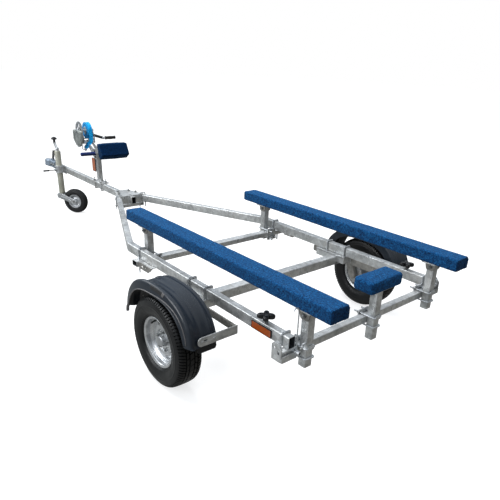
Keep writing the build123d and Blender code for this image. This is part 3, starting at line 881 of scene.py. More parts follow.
def hex_bolt(name, centre, axis, af=17.0, h=7.0):
    c, a = Vector(centre), Vector(axis).normalized()
    return [washer(name + "_w", c, a, af * 0.72, 2.0),
            nut(name + "_h", c + a * 2.0, a, af, h)]


def mirror(ob, name):
    """A copy of ob on the other side of the centre line."""
    me = ob.data.copy()
    me.transform(Matrix.Diagonal((1, -1, 1, 1)))
    me.flip_normals()
    me.name = name
    o2 = bpy.data.objects.new(name, me)
    bpy.context.scene.collection.objects.link(o2)
    return o2


def u_bolt(name, x, y, top, leg, half, axis="y", r=5.0, nuts=(), square=8.0,
           mat=None, thread=34.0):
    """U of round bar over a tube: legs half each side of (x, y), its crown at
    top, its ends at leg.  nuts: heights where a nut bears upwards."""
    mat = mat or M["galv_bright"]
    d = Vector((0, 1, 0)) if axis == "y" else Vector((1, 0, 0))
    c = Vector((x, y, 0))
    a, b = c - d * half, c + d * half
    path = [(a.x, a.y, leg), (a.x, a.y, top), (b.x, b.y, top),
            (b.x, b.y, leg)]
    out = [rod(name + "_u", path, r, mat, bend=[square, square], n=10,
               thread=(thread, 2.2))]
    for k, z in enumerate(nuts):
        for j, p in enumerate((a, b)):
            nm = "%s_%d_%d" % (name, k, j)
            out.append(washer(nm + "w", (p.x, p.y, z), (0, 0, -1), 10.5, 2.0))
            out.append(nut(nm + "n", (p.x, p.y, z - 2), (0, 0, -1), 16.5, 8.0))
    return out


def side_u_bolt(name, x_back, x_end, y, z, half, plate_x, sign=1, r=5.0):
    """U round a post from behind, its legs along X at height z."""
    path = [(x_end, y - half, z), (x_back, y - half, z), (x_back, y + half, z),
            (x_end, y + half, z)]
    out = [rod(name + "_u", path, r, M["galv_bright"], bend=[7, 7], n=10,
               thread=(26, 2.2))]
    for k, yy in enumerate((y - half, y + half)):
        out.append(washer("%s_w%d" % (name, k), (plate_x, yy, z),
                          (sign, 0, 0), 10.5, 2.0))
        out.append(nut("%s_n%d" % (name, k), (plate_x + 2 * sign, yy, z),
                       (sign, 0, 0), 16.5, 8.0))
    return out


# ============================================================ frame members
ARM_END_X = BEND_X + (RAIL_Y - ARM_END_Y) / math.tan(math.radians(ARM_DEG))
RAIL_ZC = (RAIL_TOP + RAIL_BOT) / 2
rail = box_tube("side_rail_left_m", [(RAIL_REAR, RAIL_Y, RAIL_ZC),
                                     (BEND_X, RAIL_Y, RAIL_ZC),
                                     (ARM_END_X, ARM_END_Y, RAIL_ZC)],
                RAIL_W, RAIL_H, M["galv_tube"], bend=[BEND_R], r=6.0, n=14)
rail_r = mirror(rail, "side_rail_right_m")
done(rail, "chassis", ["side_rail_left"])
done(rail_r, "chassis", ["side_rail_right"])

draw = box_tube("drawbar_m", [(DRAW_REAR, 0, RAIL_ZC), (DRAW_FRONT, 0,
                                                        RAIL_ZC)],
                RAIL_W, RAIL_H, M["galv_tube"], r=6.0)
done(draw, "chassis", ["drawbar"])


def cross_tube(name, xc, half, z0, z1, w, t=3.0, r=5.0):
    return box_tube(name, [(xc, -half, (z0 + z1) / 2),
                           (xc, half, (z0 + z1) / 2)], w, z1 - z0,
                    M["galv_tube"], t=t, r=r)


done(cross_tube("rear_cross_member_m", REAR_CROSS_X, REAR_HALF,
                RAIL_BOT - CROSS, RAIL_BOT, CROSS), "chassis",
     ["rear_cross_member"])
done(cross_tube("front_cross_member_m", FRONT_CROSS_X, CROSS_HALF,
                RAIL_BOT - FRONT_CROSS_H, RAIL_BOT, FRONT_CROSS_W),
     "chassis", ["front_cross_member"])
done(cross_tube("axle_beam_m", X_AX + AXLE_DX, AXLE_HALF,
                AXLE_TOP - AXLE_H, AXLE_TOP, AXLE_W, t=4.0, r=6.0),
     "chassis", ["axle_beam"])

# end plates of the rear cross-member, with a turned-in upper lip
ends = []
for s in (1, -1):
    y = s * (REAR_HALF + 3)
    x0, x1 = REAR_CROSS_X - 29, REAR_CROSS_X + 33
    pl = round2([(x0, 374), (x1, 374), (x1, 450), (x1 - 14, 464),
                 (x0 + 22, 464), (x0, 438)], [4, 4, 8, 6, 8, 8])
    ends.append(sheet_cut("end_plate", pl, [circle2(x0 + 46, 436, 6.5),
                                            slot2(x0 + 18, 420, 22, 5.5,
                                                  "v")],
                          ((0, y, 0), (1, 0, 0), (0, 0, 1)), 6.0, M["galv"]))
    ends.append(block("lip", x0 + 22, x1 - 14, y - s * 16, y, 459, 463,
                      M["galv"], 1.2))
    # light bracket corner under the rail's end
    ends.append(block("tab", x0 - 4, x0, y - s * 92, y, 372, 404,
                      M["galv"], 1.0))
done(join("rear_end_plates", ends), "chassis")

# joint of the arms and the drawbar
JT = 8.0
JBOLTS = [(X_AX + 2020, 78), (X_AX + 2096, 50)]
JHALF = 106.0
pl_top = round2([(X_AX + 1934, -116), (X_AX + 2150, -62), (X_AX + 2150, 62),
                 (X_AX + 1934, 116)], 8)
pl_low = round2([(X_AX + 1990, -100), (X_AX + 2150, -62), (X_AX + 2150, 62),
                 (X_AX + 1990, 100)], 8)
bits = [sheet_cut("jp_top", pl_top, [circle2(X_AX + 1962, 0, 9)],
                  ((0, 0, RAIL_TOP + JT / 2), (1, 0, 0), (0, 1, 0)), JT,
                  M["galv"]),
        sheet_cut("jp_low", pl_low, [], ((0, 0, RAIL_BOT - JT / 2), (1, 0, 0),
                                         (0, 1, 0)), JT, M["galv"])]
for k, (bx, by) in enumerate(JBOLTS):
    for s in (1, -1):
        nm = "jb_%d_%d" % (k, s)
        bits += bolt_set(nm, (bx, s * by, RAIL_TOP + JT), (0, 0, 1), 19, 7,
                         5.5)
        bits += bolt_set(nm + "b", (bx, s * by, RAIL_BOT - JT), (0, 0, -1),
                         19, 10, 5.5)
# webs beside the drawbar's open end, weld beads where the arms meet it
for s in (1, -1):
    bits.append(block("jweb", X_AX + 1936, X_AX + 1942,
                      min(s * 20, s * 94), max(s * 20, s * 94), RAIL_BOT,
                      RAIL_TOP, M["galv"], 0.8))
    bits.append(rod("jw", [(X_AX + 2151, s * 22, RAIL_TOP + 1),
                           (X_AX + 2151, s * 58, RAIL_TOP + 1)], 3.2,
                    M["galv"], n=8))
done(join("joint_plates_m", bits), "chassis", ["joint_plates"])
bits = []
for s in (1, -1):
    bits += u_bolt("ju%d" % s, X_AX + 1956, s * 110, RAIL_TOP + JT + 5,
                   RAIL_BOT - 52, 27, "y", 5.0, (RAIL_BOT - 6,), 6.0)
done(join("joint_u_bolts", bits), "chassis")

# channel under the joint: open downwards, ends cropped
xa, xb = X_AX + 1925, X_AX + 1985
zt, zb = RAIL_BOT, RAIL_BOT - 30
prof = round2([(xa, zb), (xa, zt), (xb, zt), (xb, zb), (xb - 6, zb),
               (xb - 6, zt - 6), (xa + 6, zt - 6), (xa + 6, zb)],
              [1.5, 6, 6, 1.5, 1.5, 2, 2, 1.5], 4)
rings = [[Vector((x, y, z)) * MM for x, z in prof] for y in (-JHALF, JHALF)]
chan = make_obj("joint_channel_m", *skin(rings), M["galv"])
bits = [bevel(chan, 1.2, 2)]
for s in (1, -1):
    bits += hex_bolt("jc%d" % s, (X_AX + 1925, s * 92, RAIL_BOT - 16),
                     (-1, 0, 0), 17, 8)
done(join("joint_channel_m2", bits), "chassis",
     ["joint_cross_channel"])

# ============================================================= axle seats
bits = []
for s in (1, -1):
    x, y = X_AX + AXLE_DX, s * RAIL_Y
    for e, end in ((-1, SEAT_REAR), (1, SEAT_FRONT)):
        # hollow half of the saddle, fore and aft of the beam
        ln = end - AXLE_W / 2
        xc = x + e * (AXLE_W / 2 + ln / 2)
        bits.append(box_tube("seat", [(xc, y, SEAT_BOT),
                                      (xc, y, RAIL_BOT - 8)], ln, 84,
                             M["galv"], t=6, r=7, up=(0, 1, 0)))
        for yy in (y - 43, y + 43):
            bits.append(rod("weld", [(x + e * (AXLE_W / 2 + 1), yy,
                                      SEAT_BOT + 2),
                                     (x + e * (AXLE_W / 2 + 1), yy,
                                      AXLE_TOP - 2)], 3.0, M["galv"], n=8))
    pl = round2([(x - SEAT_REAR, y - 42), (x + SEAT_FRONT, y - 42),
                 (x + SEAT_FRONT, y + 42), (x - SEAT_REAR, y + 42)], 7)
    holes = [circle2(x + dx, y + dy, 5.5) for dx in (-76, 76)
             for dy in (-26, 26)]
    bits.append(sheet_cut("seat_top", pl, holes,
                          ((0, 0, RAIL_BOT - 6), (1, 0, 0), (0, 1, 0)), 12.0,
                          M["galv"], 1.4))
done(join("axle_seats_m", bits), "chassis", ["axle_seats"])

bits = []
for s in (1, -1):
    for k, dx in enumerate((-76, 76)):
        bits += u_bolt("ax%d%d" % (k, s), X_AX + AXLE_DX + dx, s * RAIL_Y,
                       RAIL_TOP + 5, AXLE_TOP - 32, 26, "y", 5.0,
                       (AXLE_TOP,), 6.0)
    bits += u_bolt("fr%d" % s, X_AX + 700, s * RAIL_Y, RAIL_TOP + 6, 326, 26,
                   "y", 6.0, (RAIL_BOT - FRONT_CROSS_H,), 6.0, thread=44)
    bits += u_bolt("rr%d" % s, REAR_CROSS_X + 26, s * RAIL_Y, RAIL_TOP + 5,
                   346, 26, "y", 5.0, (RAIL_BOT - CROSS - 6,), 6.0)
    bits.append(block("rp", REAR_CROSS_X - 22, REAR_CROSS_X + 38,
                      s * RAIL_Y - 40, s * RAIL_Y + 40,
                      RAIL_BOT - CROSS - 6, RAIL_BOT - CROSS, M["galv"],
                      1.2))
done(join("rail_u_bolts", bits), "chassis")

# formed clip under each rail, ahead of the guard
bits = []
for s in (1, -1):
    xa, xb = X_AX + 512, X_AX + 655
    y0, y1 = s * 545, s * 612
    bits.append(block("cf", xa, xb, min(y0, y1), max(y0, y1), 413, 417.8,
                      M["galv"], 1.5))
    pl = round2([(xa, 418), (xa, 402), (xa + 34, 378), (xb - 14, 376),
                 (xb, 390), (xb, 418)], [2, 6, 10, 6, 6, 2])
    bits.append(sheet_cut("cl", pl, [circle2(xa + 70, 396, 5.5),
                                     slot2(xb - 34, 396, 22, 5)],
                          ((0, s * 610, 0), (1, 0, 0), (0, 0, 1)), 4.0,
                          M["galv_dull"]))
    for j, bx in enumerate((xa + 26, xa + 58)):
        bits += bolt_set("cb%d%d" % (j, s), (bx, s * 594, 413), (0, 0, -1), 19,
                         16 if j else 8, 5)
done(join("front_rail_clips", bits), "chassis")


# ============================================================ posts and bunks
def post_tube(name, x, y, z0, z1, w=POST):
    return box_tube(name, [(x, y, z0), (x, y, z1)], w, w, M["galv_tube"],
                    t=3.0, r=4.5, up=(0, 1, 0))


rear, front = [], []
for s in (1, -1):
    rear.append(post_tube("rp", REAR_POST_X, s * 496, 322, BRACKET_Z - 6))
    front.append(post_tube("fp", FRONT_POST_X, s * 490, 345, BRACKET_Z - 6))
done(join("rear_bunk_posts_m", rear), "chassis",
     ["rear_bunk_posts"])
done(join("front_bunk_posts_m", front), "chassis",
     ["front_bunk_posts"])
kp = [post_tube("kp", REAR_POST_X, 8, 296, 576)]
pl = round2([(REAR_POST_X - 40, -72), (REAR_POST_X + 40, -72),
             (REAR_POST_X + 40, 88), (REAR_POST_X - 40, 88)], 8)
kp.append(sheet_cut("kb", pl, [], ((0, 0, 580), (1, 0, 0), (0, 1, 0)), 8.0,
                    M["galv"], 1.0))
for e in (-1, 1):
    kp.append(sheet_cut("kw%d" % e, [(8 + e * 22, 576), (8 + e * 64, 576),
                                     (8 + e * 22, 536)], [],
                        ((REAR_POST_X, 0, 0), (0, 1, 0), (0, 0, 1)), 5.0,
                        M["galv"]))
done(join("keel_post_m", kp), "chassis", ["keel_post"])

# U-bolts that clamp the posts to the cross-members
bits = []
for (x, y, back, cx, half, zc, sg) in (
        (REAR_POST_X, 496, -1, REAR_CROSS_X + 20, 27.5, 396, 1),
        (REAR_POST_X, -496, -1, REAR_CROSS_X + 20, 27.5, 396, 1),
        (REAR_POST_X, 8, -1, REAR_CROSS_X + 20, 27.5, 396, 1),
        (FRONT_POST_X, 490, 1, FRONT_CROSS_X - 30, 27.5, 400, -1),
        (FRONT_POST_X, -490, 1, FRONT_CROSS_X - 30, 27.5, 400, -1)):
    xb = x + back * (POST / 2 + 5)
    for z in (zc + 27, zc - 27):
        bits += side_u_bolt("pu", xb, cx + sg * 38, y, z, half, cx + sg * 6,
                            sg)
    pl = round2([(y - 42, zc - 43), (y + 42, zc - 43), (y + 42, zc + 43),
                 (y - 42, zc + 43)], 7)
    bits.append(sheet_cut("pp", pl, [slot2(y, zc, 30, 6)],
                          ((cx + sg * 3, 0, 0), (0, 1, 0), (0, 0, 1)), 6.0,
                          M["galv_bright"]))
    # saddle angle behind the post
    zz = zc + 27
    bits.append(block("sad", min(xb - back * 2, xb + back * 3),
                      max(xb - back * 2, xb + back * 3), y - 21, y + 21,
                      zz - 12, zz + 12, M["galv_bright"], 1.2))
done(join("post_u_bolts", bits), "chassis")

# bunk brackets: cap, two cheeks and a bolt through the post's top
bits = []
for (x, y) in ((REAR_POST_X, 496), (REAR_POST_X, -496), (FRONT_POST_X, 490),
               (FRONT_POST_X, -490)):
    s = 1 if y > 0 else -1
    yc = s * BUNK_Y
    pl = round2([(x - 45, yc - 50), (x + 45, yc - 50), (x + 45, yc + 50),
                 (x - 45, yc + 50)], 7)
    bits.append(sheet_cut("cap", pl, [slot2(x, yc + e * 38, 34, 4.5)
                                      for e in (-1, 1)],
                          ((0, 0, BRACKET_Z - 3), (1, 0, 0), (0, 1, 0)), 6.0,
                          M["galv"]))
    for e in (-1, 1):
        ck = round2([(x - 36, BRACKET_Z - 5), (x + 36, BRACKET_Z - 5),
                     (x + 24, BRACKET_Z - 50), (x - 24, BRACKET_Z - 50)],
                    [2, 2, 12, 12])
        bits.append(sheet_cut("ck", ck, [], ((0, y + e * 25.5, 0), (1, 0, 0),
                                             (0, 0, 1)), 5.0, M["galv_dull"]))
        bits += bolt_set("cb", (x, y + e * 28, BRACKET_Z - 28), (0, e, 0),
                         19, 8 if e > 0 else 3, 6)
done(join("bunk_brackets_m", bits), "chassis",
     ["bunk_brackets"])


def hashed(i, j, k=0):
    return noise.noise(Vector((i * 0.137, j * 0.211, k * 0.77 + 3.1)))


def carpet_block(name, x0, x1, y0, y1, z0, z1, mat, r=9.0, nx=150, amp=1.1,
                 end_r=8.0, seam=True, end_shade_mat=None):
    """Board wrapped in carpet: eased edges, a faintly uneven surface, ends
    folded in and the overlap under it; the end faces and folds take a darker
    carpet, painted shade on the ends."""
    cy, cz, w, h = (y0 + y1) / 2, (z0 + z1) / 2, y1 - y0, z1 - z0
    base = rrect(w, h, r, 5)
    # subdivide the long sides of the section
    sec = []
    m = len(base)
    for i in range(m):
        a, b = Vector((*base[i], 0)), Vector((*base[(i + 1) % m], 0))
        cnt = max(1, int((b - a).length / 7.0))
        for k in range(cnt):
            q = a.lerp(b, k / cnt)
            sec.append((q.x, q.y))
    m = len(sec)
    ne = 5
    # distance in from the end, and how far the section is drawn in there
    ends = [(end_r * (1 - math.cos(math.pi / 2 * k / ne)),
             end_r * (1 - math.sin(math.pi / 2 * k / ne)))
            for k in range(ne + 1)]
    xs = [(x0 + a, b) for a, b in ends]
    mid = [(x0 + end_r + (x1 - x0 - 2 * end_r) * k / nx, 0.0)
           for k in range(1, nx)]
    xs += mid + [(x1 - a, b) for a, b in reversed(ends)]
    rings = []
    L = x1 - x0
    for i, (x, inset) in enumerate(xs):
        ring = []
        for j, (a, b) in enumerate(sec):
            ka = (w / 2 - inset) / (w / 2)
            kb = (h / 2 - inset) / (h / 2)
            p = Vector((x, cy + a * ka, cz + b * kb))
            nrm = Vector((0, a / (w / 2), b / (h / 2)))
            if nrm.length > 0:
                nrm.normalize()
            q = p * 0.02
            d = noise.noise(q) * 0.7 + noise.noise(p * 0.09) * 0.3
            ring.append((p + nrm * d * amp) * MM)
        rings.append(ring)
    verts = [p for rg in rings for p in rg]
    faces = []
    n = len(rings)
    for i in range(n - 1):
        for k in range(m):
            a, b = i * m + k, i * m + (k + 1) % m
            faces.append((a, b, b + m, a + m))
    # ends: shrink in steps so the face carries a soft dome
    for first in (True, False):
        base_i = 0 if first else (n - 1) * m
        prev = list(range(base_i, base_i + m))
        cx = xs[0][0] if first else xs[-1][0]
        for k, f in enumerate((0.82, 0.55, 0.25)):
            ring = []
            for j in range(m):
                v = verts[base_i + j]
                yy = cy * MM + (v.y - cy * MM) * f
                zz = cz * MM + (v.z - cz * MM) * f
                dx = (0.8 * (1 - f) + 0.6 * hashed(j, k, 5)) * (
                    -1 if first else 1)
                verts.append(Vector((cx * MM + dx * MM, yy, zz)))
                ring.append(len(verts) - 1)
            for j in range(m):
                a, b = prev[j], prev[(j + 1) % m]
                c, d = ring[(j + 1) % m], ring[j]
                faces.append((a, d, c, b) if first else (a, b, c, d))
            prev = ring
        faces.append(tuple(prev) if first else tuple(reversed(prev)))
    ob = make_obj(name, verts, faces, mat, smooth=60)
    # end faces take the darker carpet: painted shade on the ends
    end_shade_mat = end_shade_mat or mat
    ob.data.materials.append(end_shade_mat)
    for pg in ob.data.polygons:
        if abs(pg.normal.x) > 0.6:
            pg.material_index = 1
    out = [ob]
    if seam:
        # gift-wrap folds on both ends: two tucked side flaps
        for x, sx in ((x0, -1), (x1, 1)):
            for e in (-1, 1):
                fl = [(cy + e * (w / 2 - 3), z0 + 5),
                      (cy + e * (w / 2 - 3), z1 - 7),
                      (cy + e * (w / 2 - h * 0.55), (z0 + z1) / 2 + 4),
                      (cy + e * (w / 2 - h * 0.50), z0 + 5)]
                out.append(sheet_cut(name + "_f", round2(fl, 3),
                                     [], ((x + sx * 1.0, 0, 0), (0, 1, 0),
                                          (0, 0, 1)), 3.4, end_shade_mat, 1.2))
        # overlap strip underneath
        out.append(carpet_strip(name + "_lap", x0 + 14, x1 - 14, cy - 22,
                                cy + 22, z0 - 1.2, 3.0, mat))
    ob = join(name, out)
    return ob


def carpet_strip(name, x0, x1, y0, y1, z, t, mat):
    rings = []
    nx = 60
    for i in range(nx + 1):
        x = x0 + (x1 - x0) * i / nx
        w0 = 1.6 * noise.noise(Vector((i * 0.31, 0.3, 0)))
        w1 = 1.6 * noise.noise(Vector((i * 0.29, 7.3, 0)))
        sec = rrect(y1 - y0 + w0 + w1, t, 1.3, 2)
        rings.append([Vector((x, (y0 + y1) / 2 + a + (w0 - w1) / 2, z + b))
                      * MM for a, b in sec])
    return make_obj(name, *skin(rings), mat, smooth=50)


for side, s in (("left", 1), ("right", -1)):
    ob = carpet_block("bunk_%s_m" % side, BUNK_REAR, BUNK_FRONT,
                      s * BUNK_Y - BUNK_W / 2, s * BUNK_Y + BUNK_W / 2,
                      BRACKET_Z, BUNK_TOP, M["carpet"],
                      end_shade_mat=M["carpet_end"])
    done(ob, "chassis", ["bunk_" + side])


# ================================================================ soft pads
def soft_block(name, x0, x1, y0, y1, z0, z1, mat, r=14.0, crown=(3, 3, 3),
               step=6.0, amp=1.2, flat_bottom=True):
    """Closed padded form: eased edges, faces crowned, corners pulled in."""
    c = Vector(((x0 + x1) / 2, (y0 + y1) / 2, (z0 + z1) / 2))
    hs = Vector(((x1 - x0) / 2, (y1 - y0) / 2, (z1 - z0) / 2))
    n = [max(6, int(2 * h / step)) for h in hs]
    verts, faces, index = [], [], {}

    def vid(key):
        if key not in index:
            index[key] = len(verts)
            u = [2 * key[i] / n[i] - 1 for i in range(3)]
            p = Vector([u[i] * hs[i] for i in range(3)])
            q = Vector([max(-(hs[i] - r), min(hs[i] - r, p[i]))
                        for i in range(3)])
            d = p - q
            if d.length > 1e-6:
                d.normalize()
                p = q + d * r
            for i in range(3):
                j, k = (i + 1) % 3, (i + 2) % 3
                if abs(abs(u[i]) - 1) < 1e-6:
                    if i == 2 and u[i] < 0 and flat_bottom:
                        continue
                    g = (1 - u[j] ** 2) * (1 - u[k] ** 2)
                    p[i] += math.copysign(crown[i] * g - crown[i] * 0.25,
                                          u[i])
            nv = Vector([p[i] / hs[i] for i in range(3)]).normalized()
            w = c + p
            d2 = noise.noise(w * 0.022) * 0.6 + noise.noise(w * 0.08) * 0.4
            if not (flat_bottom and u[2] < -0.99):
                w = w + nv * d2 * amp
            verts.append(w * MM)
        return index[key]

    for ax in range(3):
        j, k = (ax + 1) % 3, (ax + 2) % 3
        for side in (0, n[ax]):
            for a in range(n[j]):
                for b in range(n[k]):
                    def key(aa, bb):
                        kk = [0, 0, 0]
                        kk[ax], kk[j], kk[k] = side, aa, bb
                        return tuple(kk)
                    f = [vid(key(a, b)), vid(key(a + 1, b)),
                         vid(key(a + 1, b + 1)), vid(key(a, b + 1))]
                    faces.append(f if side else f[::-1])
    return make_obj(name, verts, faces, mat, smooth=180)


kx0, kx1 = X_AX - 741, X_AX - 621
pad = soft_block("keel_pad_m", kx0 + 1, kx1 - 1, 8 - 124, 8 + 124, 584, 652,
                 M["carpet"], r=17, crown=(3.0, 3.0, 2.5), step=4.0)
done(pad, "chassis", ["keel_pad"])


def soft_prism(name, outline, y0, y1, mat, r=9.0, end_r=9.0, step=5.0,
               amp=0.8, bulge=2.0):
    """An (x, z) outline carried across, edges eased, ends softly domed."""
    pts = round2(outline, r, 6)
    sec = []
    m = len(pts)
    for i in range(m):
        a, b = Vector((*pts[i], 0)), Vector((*pts[(i + 1) % m], 0))
        cnt = max(1, int((b - a).length / step))
        for k in range(cnt):
            q = a.lerp(b, k / cnt)
            sec.append((q.x, q.y))
    m = len(sec)
    cx = sum(p[0] for p in sec) / m
    cz = sum(p[1] for p in sec) / m
    size = min(max(p[0] for p in sec) - min(p[0] for p in sec),
               max(p[1] for p in sec) - min(p[1] for p in sec)) / 2
    ne = 6
    ends = [(end_r * (1 - math.cos(math.pi / 2 * k / ne)),
             end_r * (1 - math.sin(math.pi / 2 * k / ne)))
            for k in range(ne + 1)]
    L = y1 - y0
    nx = int((L - 2 * end_r) / step)
    ys = [(y0 + a, b) for a, b in ends]
    ys += [(y0 + end_r + (L - 2 * end_r) * k / nx, 0.0) for k in range(1, nx)]
    ys += [(y1 - a, b) for a, b in reversed(ends)]
    verts, faces = [], []
    for (y, inset) in ys:
        f = 1 - inset / size
        t = (y - (y0 + y1) / 2) / (L / 2)
        for (a, b) in sec:
            p = Vector((cx + (a - cx) * f, y, cz + (b - cz) * f))
            nv = Vector((a - cx, 0, b - cz)).normalized()
            d = noise.noise(p * 0.03) * 0.7 + noise.noise(p * 0.1) * 0.3
            p += nv * (d * amp + bulge * (1 - t * t) - bulge)
            verts.append(p * MM)
    n = len(ys)
    for i in range(n - 1):
        for k in range(m):
            a, b = i * m + k, i * m + (k + 1) % m
            faces.append((a, b, b + m, a + m))
    for first in (True, False):
        bi = 0 if first else (n - 1) * m
        prev = list(range(bi, bi + m))
        yy = ys[0][0] if first else ys[-1][0]
        for f in (0.85, 0.6, 0.3, 0.1):
            ring = []
            for j in range(m):
                v = verts[bi + j]
                verts.append(Vector((cx * MM + (v.x - cx * MM) * f,
                                     (yy + (-1.4 if first else 1.4)
                                      * (1 - f * f)) * MM,
                                     cz * MM + (v.z - cz * MM) * f)))
                ring.append(len(verts) - 1)
            for j in range(m):
                a, b = prev[j], prev[(j + 1) % m]
                c, d = ring[(j + 1) % m], ring[j]
                faces.append((a, d, c, b) if first else (a, b, c, d))
            prev = ring
        faces.append(tuple(prev) if first else tuple(reversed(prev)))
    return make_obj(name, verts, faces, mat, smooth=75)


SNUB = [(X_AX + 2288, 882), (X_AX + 2226, 884), (X_AX + 2176, 788),
        (X_AX + 2240, 746), (X_AX + 2262, 765)]
snub = soft_prism("bow_snubber_m", SNUB, -127, 127, M["navy"], r=11,
                  end_r=8, step=4.5)
done(snub, "chassis", ["bow_snubber"])

# arm that carries the snubber: box section and a raked back plate
a0 = Vector((SNUB[4][0], 0, SNUB[4][1]))
a1 = Vector((SNUB[0][0], 0, 882))
dirn = (a1 - a0).normalized()
ln = (a1 - a0).length
bits = [box_tube("sa", [(X_AX + 2276, 0, 776), (POST_X - WPOST / 2, 0, 776)],
                 40, 40, M["galv_tube"], t=3, r=4.5)]
nrm = Vector((dirn.z, 0, -dirn.x))
bits.append(sheet_cut("sp", round2([(-80, 0), (80, 0), (80, ln), (-80, ln)],
                                   10),
                      [], (a0 + nrm * 3.0, (0, 1, 0), dirn), 5.5, M["galv"]))
for yy in (-56, 56):
    for t in (24, ln - 24):
        p = a0 + nrm * 5.8 + dirn * t + Vector((0, yy, 0))
        bits += hex_bolt("sb", p, nrm, 15, 6)
bits.append(sheet_cut("sgus", [(X_AX + 2282, 796), (X_AX + 2350, 796),
                               (X_AX + 2288, 862)], [],
                      ((0, 0, 0), (1, 0, 0), (0, 0, 1)), 6.0, M["galv"]))
bits.append(sheet_cut("sfl", round2([(-34, -26), (34, -26), (34, 26),
                                     (-34, 26)], 5), [],
                      ((POST_X - WPOST / 2 - 3, 0, 776), (0, 1, 0),
                       (0, 0, 1)), 5.5, M["galv"]))
done(join("snubber_arm_m", bits), "chassis", ["snubber_arm"])

# ============================================================== winch stand
base = round2([(POST_X - 95, -46), (POST_X + 95, -46), (POST_X + 95, 46),
               (POST_X - 95, 46)], 9)
bits = [sheet_cut("wb", base, [slot2(POST_X - 78, e * 34, 22, 5)
                               for e in (-1, 1)],
                  ((0, 0, RAIL_TOP + 4), (1, 0, 0), (0, 1, 0)), 8.0,
                  M["galv"], 1.0),
        post_tube("wp", POST_X, 0, RAIL_TOP + 8, 770, WPOST)]
h = WPOST / 2
for sx, sy, ax in ((1, 0, 1), (-1, 0, 1), (0, 1, 0), (0, -1, 0)):
    q = Vector((POST_X + sx * h, sy * h, RAIL_TOP + 8.5))
    d = Vector((0, 1, 0)) if ax else Vector((1, 0, 0))
    bits.append(rod("wd", [q - d * (h - 1), q + d * (h - 1)], 3.6, M["galv"],
                    n=8))
# plastic cap in the top of the post
bits.append(block("cap", POST_X - h + 1, POST_X + h - 1, -h + 1, h - 1, 766,
                  773, M["knob"], 2.0))
done(join("winch_post_m", bits), "chassis", ["winch_post"])

bits = []
for ub, x in enumerate((POST_X + 70, POST_X - 60)):
    bits.append(rod("wu", [(x, -26, 520), (x, -26, 411), (x, 26, 411),
                           (x, 26, 520)], 5.0, M["galv_bright"],
                    bend=[6, 6], n=10, thread=(44, 2.2)))
    for e in (-1, 1):
        bits.append(washer("ww", (x, e * 26, RAIL_TOP + 8), (0, 0, 1), 10.5,
                           2))
        bits.append(nut("wn", (x, e * 26, RAIL_TOP + 10), (0, 0, 1), 16.5, 8))
done(join("winch_post_u_bolts", bits), "chassis")

bk = round2([(POST_X - 26, 700), (POST_X - 26, 770), (DRUM_X - 60, 822),
             (DRUM_X + 78, 822), (DRUM_X + 78, 814), (DRUM_X - 40, 806),
             (POST_X + 30, 700)], [6, 8, 4, 3, 3, 12, 6])
bits = []
for e in (-1, 1):
    bits.append(sheet_cut("wk", bk, [circle2(POST_X + 62, 782, 9)],
                          ((0, e * 24, 0), (1, 0, 0), (0, 0, 1)), 6.0,
                          M["galv_bright"]))
    for z in (716, 776):
        if z == 776 and e == 0:
            continue
        bits += hex_bolt("wh", (POST_X - 4 if z < 750 else POST_X + 4,
                                e * 27, z), (0, e, 0), 17, 7)
bits.append(block("wt", DRUM_X - 60, DRUM_X + 78, -27, 27, 816, 822,
                  M["galv_bright"], 1.0))
done(join("winch_bracket_m", bits), "chassis",
     ["winch_bracket"])

# winch frame: floor, two cheeks and a tie bar
ck = round2([(DRUM_X - 62, 822), (DRUM_X + 104, 822), (DRUM_X + 104, 892),
             (DRUM_X + 20, 952), (DRUM_X - 20, 952), (DRUM_X - 56, 880)],
            [3, 3, 14, 18, 18, 14])
bits = [block("wf", DRUM_X - 62, DRUM_X + 104, -WY, WYL, 822, 827,
              M["galv_bright"], 0.8)]
for y in (WYL - 2, -WY + 2):
    bits.append(sheet_cut("wc", ck, [circle2(DRUM_X, DRUM_Z, 10.1, 28),
                                     circle2(PIN_X, PIN_Z, 8.1, 24),
                                     circle2(DRUM_X - 30, DRUM_Z - 62, 8),
                                     slot2(DRUM_X + 30, DRUM_Z - 74, 40, 7)],
                          ((0, y, 0), (1, 0, 0), (0, 0, 1)), 4.0,
                          M["galv_bright"]))
bits.append(rod("tie", [(DRUM_X + 96, -WY, 846), (DRUM_X + 96, WYL, 846)], 6,
                M["bolt"], n=14))
for e, y in ((-1, -WY), (1, WYL)):
    bits.append(nut("tn", (DRUM_X + 96, y, 846), (0, e, 0), 15, 6))
    # bearing collars round the shafts
    bits.append(lathe("col", [(10.3, 0), (17, 0), (16, 3.4), (10.3, 3.6)],
                      (DRUM_X, y, DRUM_Z), (0, e, 0), M["bolt"], n=28))
for k, (bx, by) in enumerate(((DRUM_X - 40, -16), (DRUM_X - 40, 16),
                              (DRUM_X + 62, -16), (DRUM_X + 62, 16))):
    bits += hex_bolt("ff%d" % k, (bx, by, 827), (0, 0, 1), 15, 6)
# ratchet pawl and its nut on the right cheek
bits.append(sheet_cut("pawl", round2([(PIN_X - 42, PIN_Z + 46),
                                      (PIN_X - 20, PIN_Z + 52),
                                      (PIN_X - 4, PIN_Z + 26),
                                      (PIN_X - 14, PIN_Z + 20)], 4), [],
                      ((0, -WY - 4, 0), (1, 0, 0), (0, 0, 1)), 5.0,
                      M["bolt"]))
bits.append(nut("pn", (PIN_X - 32, -WY - 6.5, PIN_Z + 46), (0, -1, 0), 12,
                5))
done(join("winch_frame_m", bits), "chassis", ["winch_frame"])

